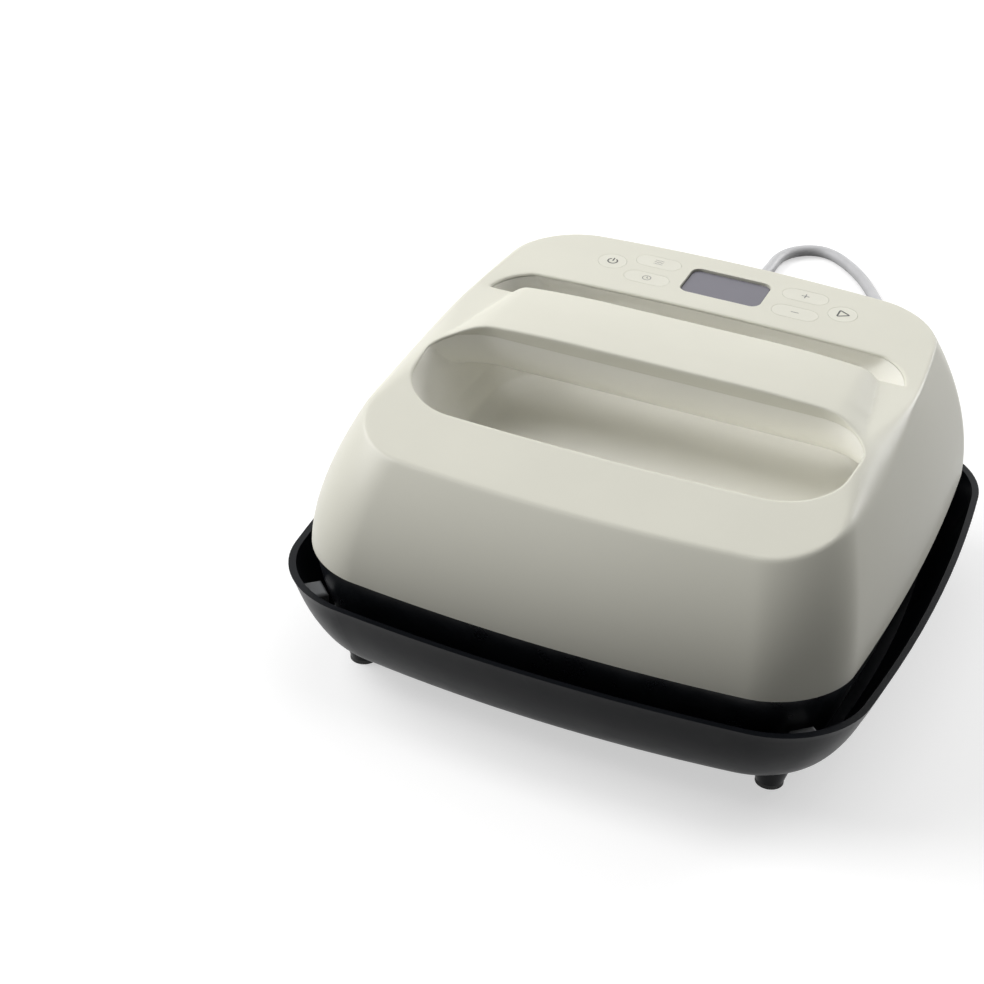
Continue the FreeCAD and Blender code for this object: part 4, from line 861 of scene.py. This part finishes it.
def piece_from(mesh, kinds, kind, name, node, paint):
    """One casing piece: the faces of its kind with a thickness inwards."""
    data = faces_of_kind(mesh, kinds, kind, name)
    data.materials.append(paint)
    piece = bpy.data.objects.new(name, data)
    bpy.context.scene.collection.objects.link(piece)
    wall = piece.modifiers.new("wall", "SOLIDIFY")
    wall.thickness = WALL
    wall.offset = -1.0
    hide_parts(node)
    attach(piece, "press")


def make_casings():
    mesh = build_casing()
    kinds = split_casing(mesh)
    gloss = shell_gloss()
    matte = cover_matte()
    # The tub and the grip share a copy of the cream that is painted lighter, standing in for light in the
    # recess.
    lightened_tub = tub_painted_light()
    piece_from(mesh, kinds, "cover", "cover_skin", "top_cover", matte)
    piece_from(mesh, kinds, "shell", "shell_skin", "outer_shell", gloss)
    piece_from(mesh, kinds, "tub", "tub_skin", "hand_tub", lightened_tub)
    piece_from(mesh, kinds, "grip", "grip_skin", "handle_grip", lightened_tub)
    mesh.free()


make_casings()


# ---------------------------------------------------------------- symbols on the buttons

INK_HEIGHT = 0.00004
STROKE = 0.00055
CAP_STEPS = 8
BLUNTEST = 0.5               # keeps the outer point of a sharp corner near the stroke
POWER_RADIUS = 0.0024
CLOCK_RADIUS = 0.0021
START_CORNER = 0.0004
SIGN_REACH = 0.0018          # half length of the plus and minus strokes
WAVE_REACH = 0.0022          # half length of a wavy line
WAVE_GAP = 0.0017
WAVE_HEIGHT = 0.0002
WAVE_COUNT = 2
WAVE_STEPS = 20


def on_panel(x, y, height):
    """Point of the panel's plane over x and y, raised by height."""
    rise = (y - PANEL_FRONT_Y) * math.tan(PANEL_TILT)
    return Vector((x, y, PANEL_FRONT_Z + rise + height))


def cap(mesh, end, outward, width):
    """Half disc at the end of a stroke."""
    start = math.atan2(outward.y, outward.x) - math.pi / 2
    rim = []
    for step in range(CAP_STEPS + 1):
        angle = start + math.pi * step / CAP_STEPS
        place = end + Vector((math.cos(angle), math.sin(angle))) * width / 2
        rim.append(mesh.verts.new((*place, 0.0)))
    mesh.faces.new(rim)


def ribbon(mesh, path, width, closed=False):
    """Flat printed stroke along a path of 2-D points, with round ends."""
    points = [Vector((x, y)) for x, y in path]
    count = len(points)
    left, right = [], []
    for index, point in enumerate(points):
        before = points[index - 1] if index or closed else point
        after = points[(index + 1) % count] if index < count - 1 or closed else point
        first = (point - before).normalized() if (point - before).length else (after - point).normalized()
        second = (after - point).normalized() if (after - point).length else first
        along = (first + second).normalized()
        normal = Vector((-along.y, along.x))
        stretch = 1.0 / max(normal.dot(Vector((-first.y, first.x))), BLUNTEST)
        left.append(mesh.verts.new((*(point + normal * width / 2 * stretch), 0.0)))
        right.append(mesh.verts.new((*(point - normal * width / 2 * stretch), 0.0)))
    for index in range(count if closed else count - 1):
        after = (index + 1) % count
        mesh.faces.new((right[index], right[after], left[after], left[index]))
    if not closed:
        cap(mesh, points[0], points[0] - points[1], width)
        cap(mesh, points[-1], points[-1] - points[-2], width)


def arc(radius, start, end, steps=24, x=0.0, y=0.0):
    """Points of an arc, angles in degrees."""
    points = []
    for step in range(steps + 1):
        angle = math.radians(start + (end - start) * step / steps)
        points.append((x + radius * math.cos(angle), y + radius * math.sin(angle)))
    return points


def power_symbol(mesh):
    ribbon(mesh, arc(POWER_RADIUS, 125, 415), STROKE * 1.3)
    ribbon(mesh, [(0.0, 0.0004), (0.0, 0.0029)], STROKE * 1.3)


def heat_symbol(mesh):
    """Three level waves."""
    for y in (-WAVE_GAP, 0.0, WAVE_GAP):
        wave = []
        for step in range(WAVE_STEPS + 1):
            share = step / WAVE_STEPS
            rise = WAVE_HEIGHT * math.sin(2 * math.pi * WAVE_COUNT * share)
            wave.append((WAVE_REACH * (2 * share - 1), y + rise))
        ribbon(mesh, wave, STROKE * 0.6)


def clock_symbol(mesh):
    ribbon(mesh, arc(CLOCK_RADIUS, 0, 345), STROKE * 0.8, closed=True)
    ribbon(mesh, [(0.0, 0.0011), (0.0, 0.0), (0.0008, -0.0004)], STROKE * 0.8)


def plus_symbol(mesh):
    ribbon(mesh, [(-SIGN_REACH, 0.0), (SIGN_REACH, 0.0)], STROKE)
    ribbon(mesh, [(0.0, -SIGN_REACH), (0.0, SIGN_REACH)], STROKE)


def minus_symbol(mesh):
    ribbon(mesh, [(-SIGN_REACH, 0.0), (SIGN_REACH, 0.0)], STROKE)


def start_symbol(mesh):
    """Outlined triangle pointing right, with rounded corners."""
    path = []
    corners = ((-0.0017, 0.0024), (-0.0017, -0.0024), (0.0026, 0.0))
    for turn, (x, y) in zip((120, 240, 360), corners):
        path += arc(START_CORNER, turn - 60, turn + 60, 6, x, y)
    ribbon(mesh, path, STROKE * 1.5, closed=True)


DARK_INK = symbol_ink("dark_ink", 0.09)
PALE_INK = symbol_ink("pale_ink", 0.24)


def print_symbol(name, button, draw, ink):
    low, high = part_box(button)
    mesh = bmesh.new()
    draw(mesh)
    data = bpy.data.meshes.new(name)
    mesh.to_mesh(data)
    mesh.free()
    data.materials.append(ink)
    symbol = bpy.data.objects.new(name, data)
    bpy.context.scene.collection.objects.link(symbol)
    middle = (low + high) / 2
    place = on_panel(middle.x, middle.y, INK_HEIGHT)
    symbol.matrix_world = Matrix.Translation(place) @ Matrix.Rotation(PANEL_TILT, 4, "X")
    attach(symbol, button)


print_symbol("power_mark", "power_button", power_symbol, DARK_INK)
print_symbol("heat_mark", "temperature_button", heat_symbol, PALE_INK)
print_symbol("clock_mark", "timer_button", clock_symbol, PALE_INK)
print_symbol("plus_mark", "plus_button", plus_symbol, PALE_INK)
print_symbol("minus_mark", "minus_button", minus_symbol, PALE_INK)
print_symbol("start_mark", "start_button", start_symbol, DARK_INK)


# ---------------------------------------------------------------- floor and light

def seen_directly(tree):
    """1 for the camera's rays and for reflected and transmitted ones, 0 for light on the object."""
    path = tree.nodes.new("ShaderNodeLightPath")
    seen = path.outputs["Is Camera Ray"]
    for name in ("Is Glossy Ray", "Is Transmission Ray"):
        either = tree.nodes.new("ShaderNodeMath")
        either.operation = "MAXIMUM"
        tree.links.new(seen, either.inputs[0])
        tree.links.new(path.outputs[name], either.inputs[1])
        seen = either.outputs["Value"]
    return seen


FLOOR_SEEN = 0.56        # how white the floor is where it is lit
FLOOR_GLOW = 0.56        # light of its own, which keeps the shadow soft
FLOOR_BOUNCE = 0.14      # how white it is for the light that it throws back at the object
FLOOR_HALF = 6.0
FLOOR_DROP = 0.0002      # keeps the floor clear of the feet
ROOM_LIGHT = 0.11
WHITE = (1.0, 1.0, 1.0, 1.0)


def floor_white():
    """White floor that keeps the object's shadow and throws little light back at it."""
    paint = Paint("floor", (FLOOR_BOUNCE,) * 3, 1.0)
    tree = paint.tree
    paint.shader.inputs["Specular IOR Level"].default_value = 0.0
    white = paint.add("ShaderNodeBsdfDiffuse")
    white.inputs["Color"].default_value = (FLOOR_SEEN, FLOOR_SEEN, FLOOR_SEEN, 1.0)
    glow = paint.add("ShaderNodeEmission")
    glow.inputs["Strength"].default_value = FLOOR_GLOW
    lit = paint.add("ShaderNodeAddShader")
    mix = paint.add("ShaderNodeMixShader")
    paint.link(white.outputs["BSDF"], lit.inputs[0])
    paint.link(glow.outputs["Emission"], lit.inputs[1])
    paint.link(seen_directly(tree), mix.inputs["Fac"])
    paint.link(paint.shader.outputs["BSDF"], mix.inputs[1])
    paint.link(lit.outputs["Shader"], mix.inputs[2])
    paint.link(mix.outputs["Shader"], tree.nodes["Material Output"].inputs["Surface"])
    return paint.material


def make_floor():
    data = bpy.data.meshes.new("floor")
    mesh = bmesh.new()
    bmesh.ops.create_grid(mesh, x_segments=8, y_segments=8, size=FLOOR_HALF)
    mesh.to_mesh(data)
    mesh.free()
    data.materials.append(floor_white())
    floor = bpy.data.objects.new("floor", data)
    floor.location = (0, 0, -FLOOR_DROP)
    bpy.context.scene.collection.objects.link(floor)


def make_world():
    world = bpy.data.worlds.new("studio")
    bpy.context.scene.world = world
    world.use_nodes = True
    tree = world.node_tree
    light = tree.nodes["Background"]
    light.inputs["Color"].default_value = WHITE
    light.inputs["Strength"].default_value = ROOM_LIGHT
    white = tree.nodes.new("ShaderNodeBackground")
    white.inputs["Color"].default_value = WHITE
    white.inputs["Strength"].default_value = 1.0
    mix = tree.nodes.new("ShaderNodeMixShader")
    output = tree.nodes["World Output"]
    tree.links.new(seen_directly(tree), mix.inputs["Fac"])
    tree.links.new(light.outputs["Background"], mix.inputs[1])
    tree.links.new(white.outputs["Background"], mix.inputs[2])
    tree.links.new(mix.outputs["Shader"], output.inputs["Surface"])


def softbox(name, place, target, width, height, power):
    data = bpy.data.lights.new(name, "AREA")
    data.shape = "RECTANGLE"
    data.size = width
    data.size_y = height
    data.energy = power
    lamp = bpy.data.objects.new(name, data)
    bpy.context.scene.collection.objects.link(lamp)
    direction = Vector(target) - Vector(place)
    turn = direction.to_track_quat("-Z", "Y").to_matrix().to_4x4()
    lamp.matrix_world = Matrix.Translation(Vector(place)) @ turn


make_floor()
make_world()
softbox("key_light", place=(-1.8, -0.3, 1.5), target=(0, 0, 0.1), width=1.6, height=1.6, power=50.0)
softbox("top_light", place=(0.0, 0.9, 3.0), target=(0, 0, 0), width=2.6, height=2.4, power=27.0)
softbox("rear_light", place=(1.0, 2.2, 1.0), target=(0, 0, 0.08), width=1.2, height=1.2, power=34.0)

bpy.context.scene.view_settings.view_transform = "Standard"
